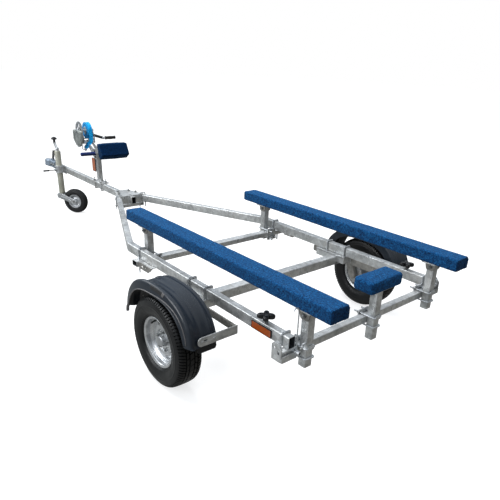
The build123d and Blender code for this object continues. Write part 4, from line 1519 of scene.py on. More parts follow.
# drum
bits = [lathe("dr", [(0.01, -52), (9, -52), (10, -51), (10, -25.5),
                     (32.5, -25), (34, -24), (34, -22), (32.5, -21),
                     (22, -20.6), (22, 20.6), (32.5, 21), (34, 22), (34, 24),
                     (32.5, 25), (10, 25.5), (10, 83), (9, 84), (0.01, 84)],
              (DRUM_X, 0, DRUM_Z), (0, 1, 0), M["galv_bright"], n=64)]
for e, y in ((-1, -49), (1, 80)):
    bits.append(nut("dn", (DRUM_X, y, DRUM_Z), (0, e, 0), 24, 7))
done(join("winch_drum_m", bits), "winch_spool",
     ["winch_drum"])


def spiral_strap(name, c, r0, r1, half, mat, turns=26, seg=56, seed=0):
    """Webbing wound edge to edge: one long ribbon whose layers show."""
    verts, faces = [], []
    t = (r1 - r0) / turns
    total = turns * seg
    for i in range(total + 1):
        a = 2 * math.pi * i / seg
        r = r0 + t * i / seg
        layer = i / seg
        off = 1.0 * noise.noise(Vector((layer * 1.7, seed, 0.3)))
        off += 0.35 * noise.noise(Vector((i * 0.11, seed + 9, 1.3)))
        wob = 0.35 * noise.noise(Vector((i * 0.05, 2.2, seed)))
        ri, ro = r + wob, r + t * 0.78 + wob
        hw = half - 1.0
        for (rr, yy) in ((ri, off - hw), (ri, off + hw), (ro, off + hw),
                         (ro, off - hw)):
            verts.append(Vector((c[0] + rr * math.cos(a), c[1] + yy,
                                 c[2] + rr * math.sin(a))) * MM)
    for i in range(total):
        for k in range(4):
            a, b = i * 4 + k, i * 4 + (k + 1) % 4
            faces.append((a, b, b + 4, a + 4))
    faces.append((3, 2, 1, 0))
    e = total * 4
    faces.append((e, e + 1, e + 2, e + 3))
    return make_obj(name, verts, faces, mat, smooth=40)


coil = spiral_strap("winch_strap_coil_m", (DRUM_X, 0, DRUM_Z), 22.3,
                    COIL_R - 0.4, COIL_HALF, M["strap"])
done(coil, "winch_spool", ["winch_strap_coil"])


def ribbon(name, rows, thick, mat, smooth=40):
    """rows: (centre, half-width vector, surface normal)."""
    rings = []
    for c, hw, nn in rows:
        c, hw, nn = Vector(c), Vector(hw), Vector(nn).normalized()
        u = hw.normalized()
        hl = hw.length
        ring = []
        for a, b in ((-1, -1), (0, -1), (1, -1), (1, 1), (0, 1), (-1, 1)):
            ring.append((c + u * (hl * a) + nn * (b * thick / 2)) * MM)
        rings.append(ring)
    return make_obj(name, *skin(rings), mat, smooth=smooth)


def smooth_rows(keys, n=12):
    """Catmull-Rom through (centre, half, normal) rows."""
    out = []
    K = [tuple(Vector(v) for v in k) for k in keys]
    for i in range(len(K) - 1):
        k0, k1, k2, k3 = (K[max(i - 1, 0)], K[i], K[i + 1],
                          K[min(i + 2, len(K) - 1)])
        for s in range(n):
            t = s / n
            row = []
            for j in range(3):
                p0, p1, p2, p3 = k0[j], k1[j], k2[j], k3[j]
                row.append(0.5 * ((2 * p1) + (p2 - p0) * t
                                  + (2 * p0 - 5 * p1 + 4 * p2 - p3) * t * t
                                  + (3 * p1 - p0 - 3 * p2 + p3) * t ** 3))
            out.append(tuple(row))
    out.append(K[-1])
    return out


# tail of the strap, doubled and stitched round the hook's eye
cxr = DRUM_X - 85.5
cx0 = DRUM_X - COIL_R - 1.2
tail = ribbon("strap_tail", smooth_rows([
    ((cx0, 0, DRUM_Z), (0, 19, 0), (-1, 0, 0)),
    ((cx0 - 3, 1, 886), (0, 19, 0), (-1, 0, 0)),
    ((cxr + 5, 8, 842), (4, 18, 2), (-1, 0.1, 0)),
    ((cxr + 13, 30, 814), (15, 12, 10), (-0.6, 0.7, 0.3)),
    ((cxr + 34, 40, 790), (20, 3, 12), (-0.2, 1, 0.1)),
    ((cxr + 64, 41, 776), (15, 0, 14), (0, 1, 0)),
]), 2.2, M["strap"])
tail2 = ribbon("strap_tail2", smooth_rows([
    ((cxr + 14, 35, 806), (15, 10, 10), (-0.6, 0.7, 0.3)),
    ((cxr + 38, 43, 788), (19, 3, 12), (-0.2, 1, 0.1)),
    ((cxr + 66, 44, 775), (15, 0, 14), (0, 1, 0)),
]), 2.2, M["strap"])
hook = rod("hook", [(cxr + 70, 42.5, 790), (cxr + 82, 42.5, 772),
                    (cxr + 76, 42.5, 752), (cxr + 54, 42.5, 748),
                    (cxr + 48, 42.5, 764), (cxr + 54, 42.5, 772)], 4.2,
           M["bolt"], bend=[7, 9, 9, 5], n=12)
eye = rod("hook_eye", [(cxr + 98, 26, 811), (cxr + 98, 56, 811),
                       (cxr + 98, 56, 757), (cxr + 65, 56, 757),
                       (cxr + 65, 26, 757)],
          3.4, M["bolt"], bend=[8, 8, 8], n=10)
done(join("strap_tail_and_hook", [tail, tail2, hook, eye]), "chassis")


def gear_outline(teeth, pitch_r, add, ded, phase=0.0, w=0.50):
    pts = []
    p = 2 * math.pi / teeth
    for k in range(teeth):
        a = phase + k * p
        for da, rr in ((-0.5 * w - 0.16, -ded), (-0.5 * w, -ded * 0.6),
                       (-0.30 * w, add * 0.8), (-0.20 * w, add),
                       (0.20 * w, add), (0.30 * w, add * 0.8),
                       (0.5 * w, -ded * 0.6), (0.5 * w + 0.16, -ded)):
            th = a + da * p
            pts.append(((pitch_r + rr) * math.cos(th),
                        (pitch_r + rr) * math.sin(th)))
    return pts


CD = math.hypot(80, 58)
PG, PP = CD * 48 / 60.0, CD * 12 / 60.0
ang = math.atan2(-58, 80)
g_out = [(DRUM_X + a, DRUM_Z + b) for a, b in
         gear_outline(48, PG, 3.0, 3.6, ang)]
holes = [circle2(DRUM_X + 42 * math.cos(math.radians(18 + 72 * k)),
                 DRUM_Z + 42 * math.sin(math.radians(18 + 72 * k)), 19, 28)
         for k in range(5)]
gear = sheet_cut("wg", g_out, holes + [circle2(DRUM_X, DRUM_Z, 10, 24)],
                 ((0, GEAR_Y + 4, 0), (1, 0, 0), (0, 0, 1)), 8.0,
                 M["galv_bright"], 0.4)
ghub = lathe("gh", [(10, -5), (19, -5), (20, -4), (20, 4), (19, 5), (10, 5)],
             (DRUM_X, GEAR_Y + 4, DRUM_Z), (0, 1, 0), M["galv_bright"], n=36)
gring = lathe("gr", [(66, -4.4), (71, -4.9), (71, 4.9), (66, 4.4)],
              (DRUM_X, GEAR_Y + 4, DRUM_Z), (0, 1, 0), M["galv_bright"], n=64)
done(join("winch_gear_m", [gear, ghub, gring]), "winch_spool",
     ["winch_gear"])

# crank: shaft, pinion, flat arm, grip pin
p_out = [(PIN_X + a, PIN_Z + b) for a, b in
         gear_outline(12, PP, 3.0, 3.4, ang + math.pi + math.pi / 12)]
bits = [sheet_cut("wpn", p_out, [], ((0, GEAR_Y + 4, 0), (1, 0, 0),
                                     (0, 0, 1)), 12.0, M["bolt"], 0.4),
        lathe("ws", [(0.01, -96), (7, -96), (8, -95), (8, 83), (7, 84),
                     (0.01, 84)], (PIN_X, 0, PIN_Z), (0, 1, 0), M["bolt"],
              n=24),
        lathe("wbs", [(8, -92), (15, -92), (15, -79), (14, -78), (8, -78)],
              (PIN_X, 0, PIN_Z), (0, 1, 0), M["bolt"], n=28),
        nut("wcn", (PIN_X, -92, PIN_Z), (0, -1, 0), 19, 9)]
ar = Vector((END_X - PIN_X, 0, END_Z - PIN_Z))
al = ar.length
ad = ar.normalized()
au = Vector((-ad.z, 0, ad.x))
if au.z < 0:
    au = -au
outl = []
for t, hw in ((-14, 9), (-8, 13.5), (6, 14), (40, 13), (al - 60, 12),
              (al - 6, 11.5), (al + 6, 8), (al + 10, 3)):
    outl.append((t, hw))
poly = [(t, hw) for t, hw in outl] + [(t, -hw) for t, hw in reversed(outl)]
pts = [(PIN_X + ad.x * t + au.x * w2, PIN_Z + ad.z * t + au.z * w2)
       for t, w2 in poly]
# the flat arm is near-black: painted shade
bits.append(sheet_cut("warm", round2(pts, 3), [],
                      ((0, -88, 0), (1, 0, 0), (0, 0, 1)), 8.0,
                      M["crank_arm_painted_shade"], 1.2))
bits.append(lathe("wgp", [(0.01, -84), (11, -84), (11, -88), (7, -92),
                          (7, -206), (0.01, -207)], (END_X, 0, END_Z),
                  (0, 1, 0), M["galv_bright"], n=24))
bits.append(lathe("wge", [(0.01, -84), (10, -84), (10, -80), (8.5, -79),
                          (0.01, -78.6)], (END_X, 0, END_Z), (0, 1, 0),
                  M["galv_bright"], n=20))
done(join("winch_crank_m", bits), "winch_handle",
     ["winch_crank"])
gp = [(7.3, -103), (12, -103), (15.5, -106), (16, -110), (14.2, -116),
      (13.2, -126), (14.4, -140), (15, -154), (14.4, -168), (13.2, -182),
      (14.2, -193), (16, -198), (15.5, -202), (12, -204.5), (7.3, -205)]
grip = lathe("winch_grip_m", gp, (END_X, 0, END_Z), (0, 1, 0), M["knob"],
             n=32, smooth=50)
done(grip, "winch_handle", ["winch_grip"])

# housing beside the gear: ribbed case with a rounded foot
COVER = [(DRUM_X - 110, 842), (DRUM_X - 62, 798), (DRUM_X + 6, 798),
         (DRUM_X + 66, 846), (DRUM_X + 66, 928), (DRUM_X + 56, 938),
         (DRUM_X - 100, 938), (DRUM_X - 110, 928)]
case = round2(COVER, [14, 12, 12, 14, 6, 6, 8, 8])
bits = []
ccx, ccz = DRUM_X - 22, 872.0
rings = []
for f, y in ((0.975, 90), (1.0, 91.5), (1.0, 98), (0.975, 99), (0.975, 101),
             (1.0, 102), (1.0, 110), (0.985, 112), (0.95, 113.0),
             (0.30, 113.0), (0.27, 115.4), (0.12, 115.8)):
    rings.append([Vector((ccx + (a - ccx) * f, y, ccz + (b - ccz) * f)) * MM
                  for a, b in case])
bits.append(make_obj("case", *skin(rings), M["case"], smooth=35))
# upright ribs on the outer face; two black blocks set just behind them paint
# the shade in the grooves, and one rib is bright zinc
for k, (xa, xb, za, zb, mt) in enumerate((
        (-98, -80, 846, 930, "case"), (-72, -56, 816, 932, "case"),
        (-48, -34, 806, 933, "case"), (-26, -14, 806, 933, "galv_bright"),
        (-6, 8, 808, 932, "case"), (16, 30, 824, 932, "case"),
        (38, 58, 852, 928, "case"), (-34, -26, 812, 930, "knob"),
        (30, 38, 846, 926, "knob"))):
    dep = 116.0 if mt != "knob" else 113.6
    bits.append(block("rb", DRUM_X + xa, DRUM_X + xb, 112.4, dep, za, zb,
                      M[mt], 1.0))
bits.append(block("ft", DRUM_X - 58, DRUM_X - 14, 100, 114, 790, 799,
                  M["galv_bright"], 1.5))
for xx, zz in ((-90, 914), (46, 914), (-50, 812), (48, 862)):
    bits.append(nut("cs", (DRUM_X + xx, 116, zz), (0, 1, 0), 9, 3))
bits.append(block("lk", DRUM_X, DRUM_X + 60, WYL, 91, 822, 832,
                  M["galv_bright"], 1.0))
for x in (DRUM_X + 14, DRUM_X + 46):
    bits += hex_bolt("lb", (x, 82, 832), (0, 0, 1), 10, 4)
done(join("winch_cover_m", bits), "chassis", ["winch_cover"])

# cross bars: rubber-covered round bars through the post
M["bar"] = rubber("bar_rubber", base=(0.006, 0.016, 0.080),
                  dust=(0.03, 0.05, 0.17), amount=0.4, rough=0.7)
bits = []
for s in (1, -1):
    y0, y1 = 27.6, 162
    pf = [(0.01, y0), (16.6, y0)]
    yy = y0 + 2
    while yy < y1 - 8:
        pf += [(16.9, yy), (16.9, yy + 5.0), (16.1, yy + 5.8),
               (16.1, yy + 6.8)]
        yy += 7.6
    pf += [(16.9, y1 - 5), (15.5, y1 - 2), (11, y1), (0.01, y1)]
    bits.append(lathe("cbar", pf, (POST_X, 0, 748), (0, s, 0), M["bar"],
                      n=36, smooth=40))
done(join("post_cross_bars_m", bits), "chassis",
     ["post_cross_bars"])


# ============================================================== reflectors
def reflector(name, axis, c, w, h, face, depth, mat_edge):
    """Amber block reflector in a dark frame.  axis: outward side (+1/-1) in
    y; c = (x, z) centre; face = y of the back."""
    out = []
    y0 = face
    o = rrect(w, h, 4, 4)
    i1 = rrect(w - 7, h - 7, 3, 4)
    rings = []
    for pts, y in ((o, 0), (o, depth * 0.72), (rrect(w - 1.6, h - 1.6, 3.4, 4),
                                               depth), (i1, depth),
                   (i1, depth * 0.7)):
        rings.append([Vector((c[0] + a, y0 + axis * y, c[1] + b)) * MM
                      for a, b in pts])
    out.append(make_obj(name + "_fr", *skin(rings), mat_edge))
    rings = []
    for k, y in ((0.3, depth * 0.4), (0.35, depth * 0.9),
                 (1.6, depth * 0.99)):
        q = rrect(w - 7 - k, h - 7 - k, 3, 4)
        rings.append([Vector((c[0] + a, y0 + axis * y, c[1] + b)) * MM
                      for a, b in q])
    out.append(make_obj(name + "_ln", *skin(rings), M["amber"]))
    return out


bits = []
for s in (1, -1):
    bits += reflector("sr%d" % s, s, (X_AX - 475, 445), 140, 42,
                      s * (RAIL_Y + 20), 6.2, M["knob"])
done(join("side_reflectors_m", bits), "chassis",
     ["side_reflectors"])
bits = []
for s in (1, -1):
    bits += reflector("pr%d" % s, s, (POST_X + 49, 638), 70, 124,
                      s * (WPOST / 2 + 3), 6.2, M["knob"])
    bits.append(block("prb", POST_X + 14, POST_X + 84, min(s * 21, s * 24),
                      max(s * 21, s * 24), 584, 692, M["galv_bright"], 0.8))
done(join("post_reflectors_m", bits), "chassis",
     ["post_reflectors"])

# lobed knobs on the rails
bits = []
for s in (1, -1):
    kx, ky = X_AX - 480, s * RAIL_Y
    stem = lathe("ks", [(0.01, 0), (11, 0), (12, 3), (9.0, 6), (9.0, 18),
                        (15, 19), (15, 21), (0.01, 21)],
                 (kx, ky, RAIL_TOP), (0, 0, 1), M["bolt"], n=28)
    rings = []
    for f, z in ((0.50, 17), (0.88, 18), (0.97, 20.5), (1.0, 24), (1.0, 33),
                 (0.96, 37.5), (0.86, 40.5), (0.66, 42), (0.42, 42.2),
                 (0.36, 40.6), (0.12, 40.2)):
        ring = []
        for k in range(112):
            th = 2 * math.pi * k / 112
            lob = abs(math.cos(2 * (th - math.pi / 4))) ** 1.35
            # broad round lobes on a slim middle
            r = 17.0 + 26.0 * lob
            ring.append(Vector((kx + r * f * math.cos(th),
                                ky + r * f * math.sin(th),
                                RAIL_TOP + z)) * MM)
        rings.append(ring)
    knob = make_obj("kn", *skin(rings), M["knob_gloss"], smooth=50)
    bits += [stem, knob]
done(join("rail_knobs_m", bits), "chassis", ["rail_knobs"])


# ============================================================ coupling head
def plan_ring(pts, z, f=1.0, c=(0, 0)):
    return [Vector((c[0] + (a - c[0]) * f, c[1] + (b - c[1]) * f, z)) * MM
            for a, b in pts]


CX = DRAW_FRONT
bits = []
# sleeve over the drawbar: open at the rear
sl_o = rrect(56, RAIL_H + 14, 9, 5)
sl_i = rrect(RAIL_W + 0.6, RAIL_H + 0.6, 6, 5)
zc = (RAIL_BOT - 6 + RAIL_TOP + 8) / 2
outer, inner = [], []
for x in (CX - 110, CX - 108, CX + 58, CX + 60):
    g = 0.97 if x in (CX - 110, CX + 60) else 1.0
    outer.append([Vector((x, a * g, zc + b * g)) * MM for a, b in sl_o])
    inner.append([Vector((x, a, RAIL_ZC + b)) * MM for a, b in sl_i])
bits.append(make_obj("slv", *tube_skin(outer, inner), M["cast"]))
bits.append(block("slvf", CX + 40, CX + 60, -26, 26, RAIL_BOT - 4,
                  RAIL_TOP + 6, M["cast"], 2))
nose = round2([(CX + 30, -28), (BALL_X - 10, -40), (BALL_X + 16, -37),
               (NOSE - 10, -24), (NOSE, -7), (NOSE, 7), (NOSE - 10, 24),
               (BALL_X + 16, 37), (BALL_X - 10, 40), (CX + 30, 28)],
              [4, 22, 14, 14, 8, 8, 14, 14, 22, 4], 5)
cc = (BALL_X - 6, 0)
rings = [plan_ring(nose, RAIL_BOT - 6, 0.985, cc),
         plan_ring(nose, RAIL_BOT - 4, 1.0, cc),
         plan_ring(nose, RAIL_BOT + 12, 1.0, cc),
         plan_ring(nose, RAIL_BOT + 15, 0.955, cc),
         plan_ring(nose, RAIL_BOT + 38, 0.95, cc),
         plan_ring(nose, RAIL_BOT + 52, 0.90, cc),
         plan_ring(nose, RAIL_BOT + 60, 0.78, cc),
         plan_ring(nose, RAIL_TOP + 3, 0.55, cc),
         plan_ring(nose, RAIL_TOP + 4, 0.25, cc)]
shell = make_obj("nose", *skin(rings), M["cast"], smooth=40)
# ball cup cut from below
cup = lathe("cup", [(0.01, -40), (25.4, -40), (25.4, 18), (24.6, 24.4),
                    (22, 30.7), (18, 35.9), (12.7, 40), (6.5, 42.6),
                    (0.01, 43.4)], (BALL_X, 0, RAIL_BOT), (0, 0, 1),
            M["cast"], n=48)
mod = shell.modifiers.new("cup", "BOOLEAN")
mod.operation = "DIFFERENCE"
mod.solver = "EXACT"
mod.object = cup
apply_mods(shell)
bpy.data.objects.remove(cup)
shade(shell, 40)
bits.append(shell)
# side ribs and draw bolts
for s in (1, -1):
    bits.append(block("rib", CX - 4, BALL_X - 6, min(s * 27, s * 33),
                      max(s * 27, s * 33), RAIL_BOT + 20, RAIL_BOT + 27,
                      M["cast"], 2.0))
    for x in (CX - 84, CX - 26):
        bits += bolt_set("cb", (x, s * 28, RAIL_ZC + 4), (0, s, 0), 19,
                         8 if s > 0 else 3, 6)
done(join("coupling_head_m", bits), "chassis",
     ["coupling_head"])

# release lever: pivot lugs, a pin and a pressed handle
bits = []
for s in (1, -1):
    lug = round2([(CX - 30, RAIL_TOP + 6), (CX + 40, RAIL_TOP + 6),
                  (CX + 26, RAIL_TOP + 30), (CX - 22, RAIL_TOP + 30)],
                 [2, 2, 8, 8])
    bits.append(sheet_cut("lug", lug, [], ((0, s * 7.5, 0), (1, 0, 0),
                                           (0, 0, 1)), 3.5, M["cast"]))
bits.append(block("lvb", CX - 28, CX + 36, -7, 7, RAIL_TOP + 7.5,
                  RAIL_TOP + 20, M["cast"], 2))
bits.append(rod("lvp", [(CX + 2, -12, RAIL_TOP + 22), (CX + 2, 12,
                                                       RAIL_TOP + 22)], 4.5,
                M["bolt"], n=14))
path = [Vector((CX + 4, 0, RAIL_TOP + 18)), Vector((CX - 10, 0,
                                                    RAIL_TOP + 44)),
        Vector((CX - 38, 0, RAIL_TOP + 92)), Vector((CX - 60, 0,
                                                     RAIL_TOP + 124)),
        Vector((CX - 68, 0, RAIL_TOP + 129))]
rings = []
for k in range(25):
    t = k / 24 * (len(path) - 1)
    i = min(int(t), len(path) - 2)
    p = path[i].lerp(path[i + 1], t - i)
    d = (path[min(i + 1, len(path) - 1)] - path[i]).normalized()
    u = d.cross(Vector((0, 1, 0))).normalized()
    hw = 9 + 5 * min(1, k / 12)
    th = 8.5 if k < 3 else (11 if k < 20 else 11 - (k - 19) * 0.9)
    # channel section: a web with two turned-down edges
    sec = [(-hw, -th / 2), (-hw + 3, -th / 2), (-hw + 3, th / 2 - 3),
           (hw - 3, th / 2 - 3), (hw - 3, -th / 2), (hw, -th / 2),
           (hw, th / 2 - 2), (hw - 2, th / 2), (-hw + 2, th / 2),
           (-hw, th / 2 - 2)]
    rings.append([(p + Vector((0, 1, 0)) * a + u * b) * MM for a, b in sec])
bits.append(make_obj("lvh", *skin(rings), M["galv_dull"], smooth=35))
done(join("coupling_lever_m", bits), "chassis",
     ["coupling_lever"])


# =========================================================== jockey wheel
bits = []
pl = round2([(JX - 55, 412), (JX + 55, 412), (JX + 55, 496), (JX - 55, 496)],
            9)
bits.append(sheet_cut("jcp", pl, [], ((0, RAIL_W / 2 + 4, 0), (1, 0, 0),
                                      (0, 0, 1)), 8.0, M["galv_bright"], 1.0))
for dx in (-42, 42):
    for z in (428, 480):
        bits += hex_bolt("jcb", (JX + dx, RAIL_W / 2 + 8, z), (0, 1, 0), 13,
                         5)
bits.append(block("jcw", JX - 24, JX + 24, RAIL_W / 2 + 7, JY - 20, 424, 500,
                  M["galv_bright"], 2.0))
bits.append(lathe("jcr", [(30.2, 424), (36, 424), (37, 425), (37, 436),
                          (34.6, 438), (34.6, 486), (37, 488), (37, 499),
                          (36, 500), (30.2, 500)], (JX, JY, 0), (0, 0, 1),
                  M["galv_bright"], n=56, start=0))
for e in (-1, 1):
    ear = round2([(JY + 30, 442), (JY + 50, 442), (JY + 50, 468),
                  (JY + 30, 468)], [1, 8, 8, 1])
    bits.append(sheet_cut("jce", ear, [], ((JX + e * 10, 0, 0), (0, 1, 0),
                                           (0, 0, 1)), 8.0,
                          M["galv_bright"], 1.0))
bits.append(rod("jpin", [(JX - 20, JY + 43, 455), (JX + 20, JY + 43, 455)],
                4.5, M["bolt"], n=14))
# dark clamping bolts above and below the boss
for z in (438, 486):
    bits += bolt_set("jk", (JX + 30, JY + 24, z), (0.7, 0.7, 0), 13, 6, 4)
done(join("jockey_clamp_m", bits), "chassis", ["jockey_clamp"])

bits = [rod("jh", [(JX, JY + 44, 455), (JX, 186, 455)], 5.5, M["galv_dull"],
            n=16, thread=(40, 2.4)),
        lathe("jhb", [(0.01, 183), (7, 183), (8.4, 184.5), (9, 188),
                      (9, 200), (8.2, 203), (8.2, 222), (9, 226), (9, 238),
                      (8, 241.5), (5, 242.4), (0.01, 242.4)], (JX, 0, 455),
              (0, 1, 0), M["knob"], n=28)]
done(join("jockey_clamp_handle_m", bits), "chassis",
     ["jockey_clamp_handle"])

M["olive"] = galvanised("jockey_tube_zinc", base=(0.50, 0.50, 0.43),
                        dark=(0.31, 0.31, 0.25), warm=(0.44, 0.40, 0.28),
                        metal=0.55, rough=0.38, cell=200.0)
prof = [(24.2, 207), (29, 207), (30, 208.5), (30, 214), (31, 215),
        (31, 221), (30, 222), (30, 646), (29, 650), (26, 652), (0.01, 652),
        (0.01, 644), (24.2, 643)]
outer = lathe("jo", prof, (JX, JY, 0), (0, 0, 1), M["olive"], n=56)
seamr = rod("jos", [(JX - 21.3, JY + 21.3, 212), (JX - 21.3, JY + 21.3, 640)],
            1.0, M["olive"], n=8)
done(join("jockey_outer_tube_m", [outer, seamr]), "jockey_tube",
     ["jockey_outer_tube"])

ctop = 684
bits = [lathe("jch", [(0.01, 652), (20, 652), (20, 655), (16.5, 656),
                      (17, 658), (17, 680), (15, 684), (0.01, 684)],
              (JX, JY, 0), (0, 0, 1), M["galv_bright"], n=36)]
arm = round2([(JX - 14, ctop - 18), (JX + 14, ctop - 18),
              (JX + 70, ctop + 38), (JX + 70, ctop + 48),
              (JX + 46, ctop + 48), (JX - 2, ctop), (JX - 14, ctop)],
             [4, 14, 6, 4, 5, 8, 4])
bits.append(sheet_cut("jca", arm, [], ((0, JY, 0), (1, 0, 0), (0, 0, 1)),
                      20.0, M["galv_bright"], 2.5))
bits.append(rod("jcx", [(JX - 21, JY, ctop - 12), (JX + 18, JY, ctop - 12)],
                3.2, M["bolt"], n=12))
done(join("jockey_crank_m", bits), "jockey_tube",
     ["jockey_crank"])
kprof = [(0.01, ctop + 46), (13, ctop + 46), (12.4, ctop + 52),
         (11.2, ctop + 62), (12.2, ctop + 72), (20, ctop + 75.5),
         (28, ctop + 78), (29.4, ctop + 81), (28.6, ctop + 85),
         (24, ctop + 92), (16, ctop + 98.5), (7, ctop + 101.6),
         (0.01, ctop + 102)]
done(lathe("jockey_knob_m", kprof, (JX + 58, JY, 0), (0, 0, 1), M["knob"],
           n=48, smooth=50), "jockey_tube", ["jockey_knob"])

iprof = [(12.1, 205), (24, 205), (24, 519), (23, 520), (12.1, 520)]
done(lathe("jockey_inner_tube_m", iprof, (JX, JY, 0), (0, 0, 1),
           M["galv_bright"], n=48), "jockey_leg",
     ["jockey_inner_tube"])

FT = Matrix.Translation(Vector((JX, JY, 0)) * MM) @ Matrix.Rotation(
    math.radians(TRAIL_DEG), 4, "Z")
LEG = JW_W / 2 + 7
FTOP = 204.5
leg = round2([(-34, FTOP), (26, FTOP), (168, 150), (174, 130), (166, 112),
              (140, 108), (-34, FTOP - 42)], [3, 30, 16, 14, 14, 22, 12])
bits = []
for s in (1, -1):
    bits.append(sheet_cut("jl", leg, [circle2(TRAIL, JW_R, 8.0, 24)],
                          ((0, s * (LEG + 3), 0), (1, 0, 0), (0, 0, 1)), 6.0,
                          M["galv_bright"], 1.0))
    # pressed swage along the leg
    a, b = Vector((6, 0, FTOP - 24)), Vector((118, 0, 140))
    sw = rod("jsw", [a + Vector((0, s * (LEG + 5.2), 0)),
                     b + Vector((0, s * (LEG + 5.2), 0))], 4.0,
             M["galv_bright"], n=14)
    bits.append(sw)
    bits.append(nut("jan", (TRAIL, s * (LEG + 6), JW_R), (0, s, 0), 19, 8))
bits.append(block("jfp", -34, 26, -LEG - 6, LEG + 6, FTOP - 8, FTOP,
                  M["galv_bright"], 2.5))
bits.append(lathe("jfs", [(0.01, FTOP - 2), (12, FTOP - 2), (12, 258),
                          (11, 260), (0.01, 260)], (0, 0, 0), (0, 0, 1),
                  M["bolt"], n=28))
bits.append(rod("jax", [(TRAIL, -LEG - 14, JW_R), (TRAIL, LEG + 14, JW_R)],
                7.6, M["bolt"], n=20))
fork = join("jockey_fork_m", bits)
fork.data.transform(FT)
done(fork, "jockey_swivel", ["jockey_fork"])

rp = [(8.1, -34), (20, -34), (22, -32), (24, -20), (28, -12), (36, -8.4),
      (54, -8.4), (58, -10), (60.5, -16), (61.5, -27), (64, -30), (70.5, -31),
      (71.8, -29), (71.8, 29), (70.5, 31), (64, 30), (61.5, 27), (60.5, 16),
      (58, 10), (54, 8.4), (36, 8.4), (28, 12), (24, 20), (22, 32), (20, 34),
      (8.1, 34)]
rim = lathe("jrm", rp, (TRAIL, 0, JW_R), (0, 1, 0), M["rim_small"], n=72)
cut = []
for k in range(5):
    a = math.radians(72 * k + 12)
    cut.append(lathe("c", [(0.01, -14), (8.5, -14), (8.5, 14), (0.01, 14)],
                     (TRAIL + 45 * math.cos(a), 0, JW_R + 45 * math.sin(a)),
                     (0, 1, 0), M["rim_small"], n=20))
cutter = join("cutter", cut)
mod = rim.modifiers.new("c", "BOOLEAN")
mod.operation = "DIFFERENCE"
mod.solver = "EXACT"
mod.object = cutter
apply_mods(rim)
bpy.data.objects.remove(cutter)
shade(rim, 30)
rim.data.transform(FT)
done(rim, "jockey_wheel", ["jockey_rim"])
rim.name = "jockey_rim_m"

tp = [(72.4, -24), (72.4, 24), (76, 31), (82, 34), (84, 36.4), (87, 36.0),
      (98, 37), (106, 36.2), (110, 34.2), (112, 34.8), (116, 33), (122, 27),
      (124.5, 24), (126.4, 19), (127.2, 16.5), (125.2, 15.8), (125.4, 13.2),
      (128.4, 12.5), (129.6, 8), (130, 5), (128, 4.4), (128, 1.4), (130, 0.8)]
tp = tp + [(r, -y) for r, y in reversed(tp[2:])]
tp[0], tp[1] = tp[0], tp[1]
ty = lathe("jockey_tyre_m", tp, (TRAIL, 0, JW_R), (0, 1, 0),
           M["tyre_small"], n=112, smooth=32)
ty.data.transform(FT)
done(ty, "jockey_wheel", ["jockey_tyre"])

# ============================================================= running gear
for side, s in (("left", 1), ("right", -1)):
    ax, az = X_AX + AXLE_DX, AXLE_TOP - AXLE_H / 2
    y0, y1 = s * AXLE_HALF, s * (AXLE_HALF + 24)
    # hull of two circles, eased edges
    pts = []
    d = Vector((X_AX - ax, 0, TYRE_R - az))
    ang = math.atan2(d.z, d.x)
    for k in range(25):
        a = ang + math.pi / 2 + math.pi * k / 24
        pts.append((ax + 30 * math.cos(a), az + 30 * math.sin(a)))
    for k in range(25):
        a = ang - math.pi / 2 + math.pi * k / 24
        pts.append((X_AX + 26 * math.cos(a), TYRE_R + 26 * math.sin(a)))
    mx, mz = (ax + X_AX) / 2, (az + TYRE_R) / 2
    rings = []
    for f, t in ((0.90, 0), (1.0, 0.12), (1.0, 0.38), (0.84, 0.44),
                 (0.84, 0.56), (1.0, 0.62), (1.0, 0.88), (0.90, 1.0)):
        y = y0 + (y1 - y0) * t
        ring = []
        for (px, pz) in pts:
            # shrink towards the arm's own spine so the ends stay round
            k = max(0, min(1, ((px - ax) * d.x + (pz - az) * d.z)
                           / d.length_squared))
            qx, qz = ax + d.x * k, az + d.z * k
            ring.append(Vector((qx + (px - qx) * f, y, qz + (pz - qz) * f))
                        * MM)
        rings.append(ring)
    bits = [make_obj("ta", *skin(rings), M["galv_dull"], smooth=35)]
    bits.append(lathe("tsp", [(0.01, AXLE_HALF + 22), (22, AXLE_HALF + 22),
                              (22, AXLE_HALF + 28), (17.5, AXLE_HALF + 31),
                              (17.5, WHEEL_Y + 6), (11, WHEEL_Y + 7),
                              (11, WHEEL_Y + 17), (10, WHEEL_Y + 18),
                              (0.01, WHEEL_Y + 18)],
                      (X_AX, 0, TYRE_R), (0, s, 0), M["bolt"], n=32))
    bits.append(nut("tn", (ax, y1, az), (0, s, 0), 24, 7))
    bits.append(lathe("tc", [(0.01, AXLE_HALF - 10), (19, AXLE_HALF - 10),
                             (19, AXLE_HALF + 1), (0.01, AXLE_HALF + 1)],
                      (ax, 0, az), (0, s, 0), M["galv_dull"], n=32))
    done(join("torsion_arm_%s_m" % side, bits), "chassis",
         ["torsion_arm_" + side])


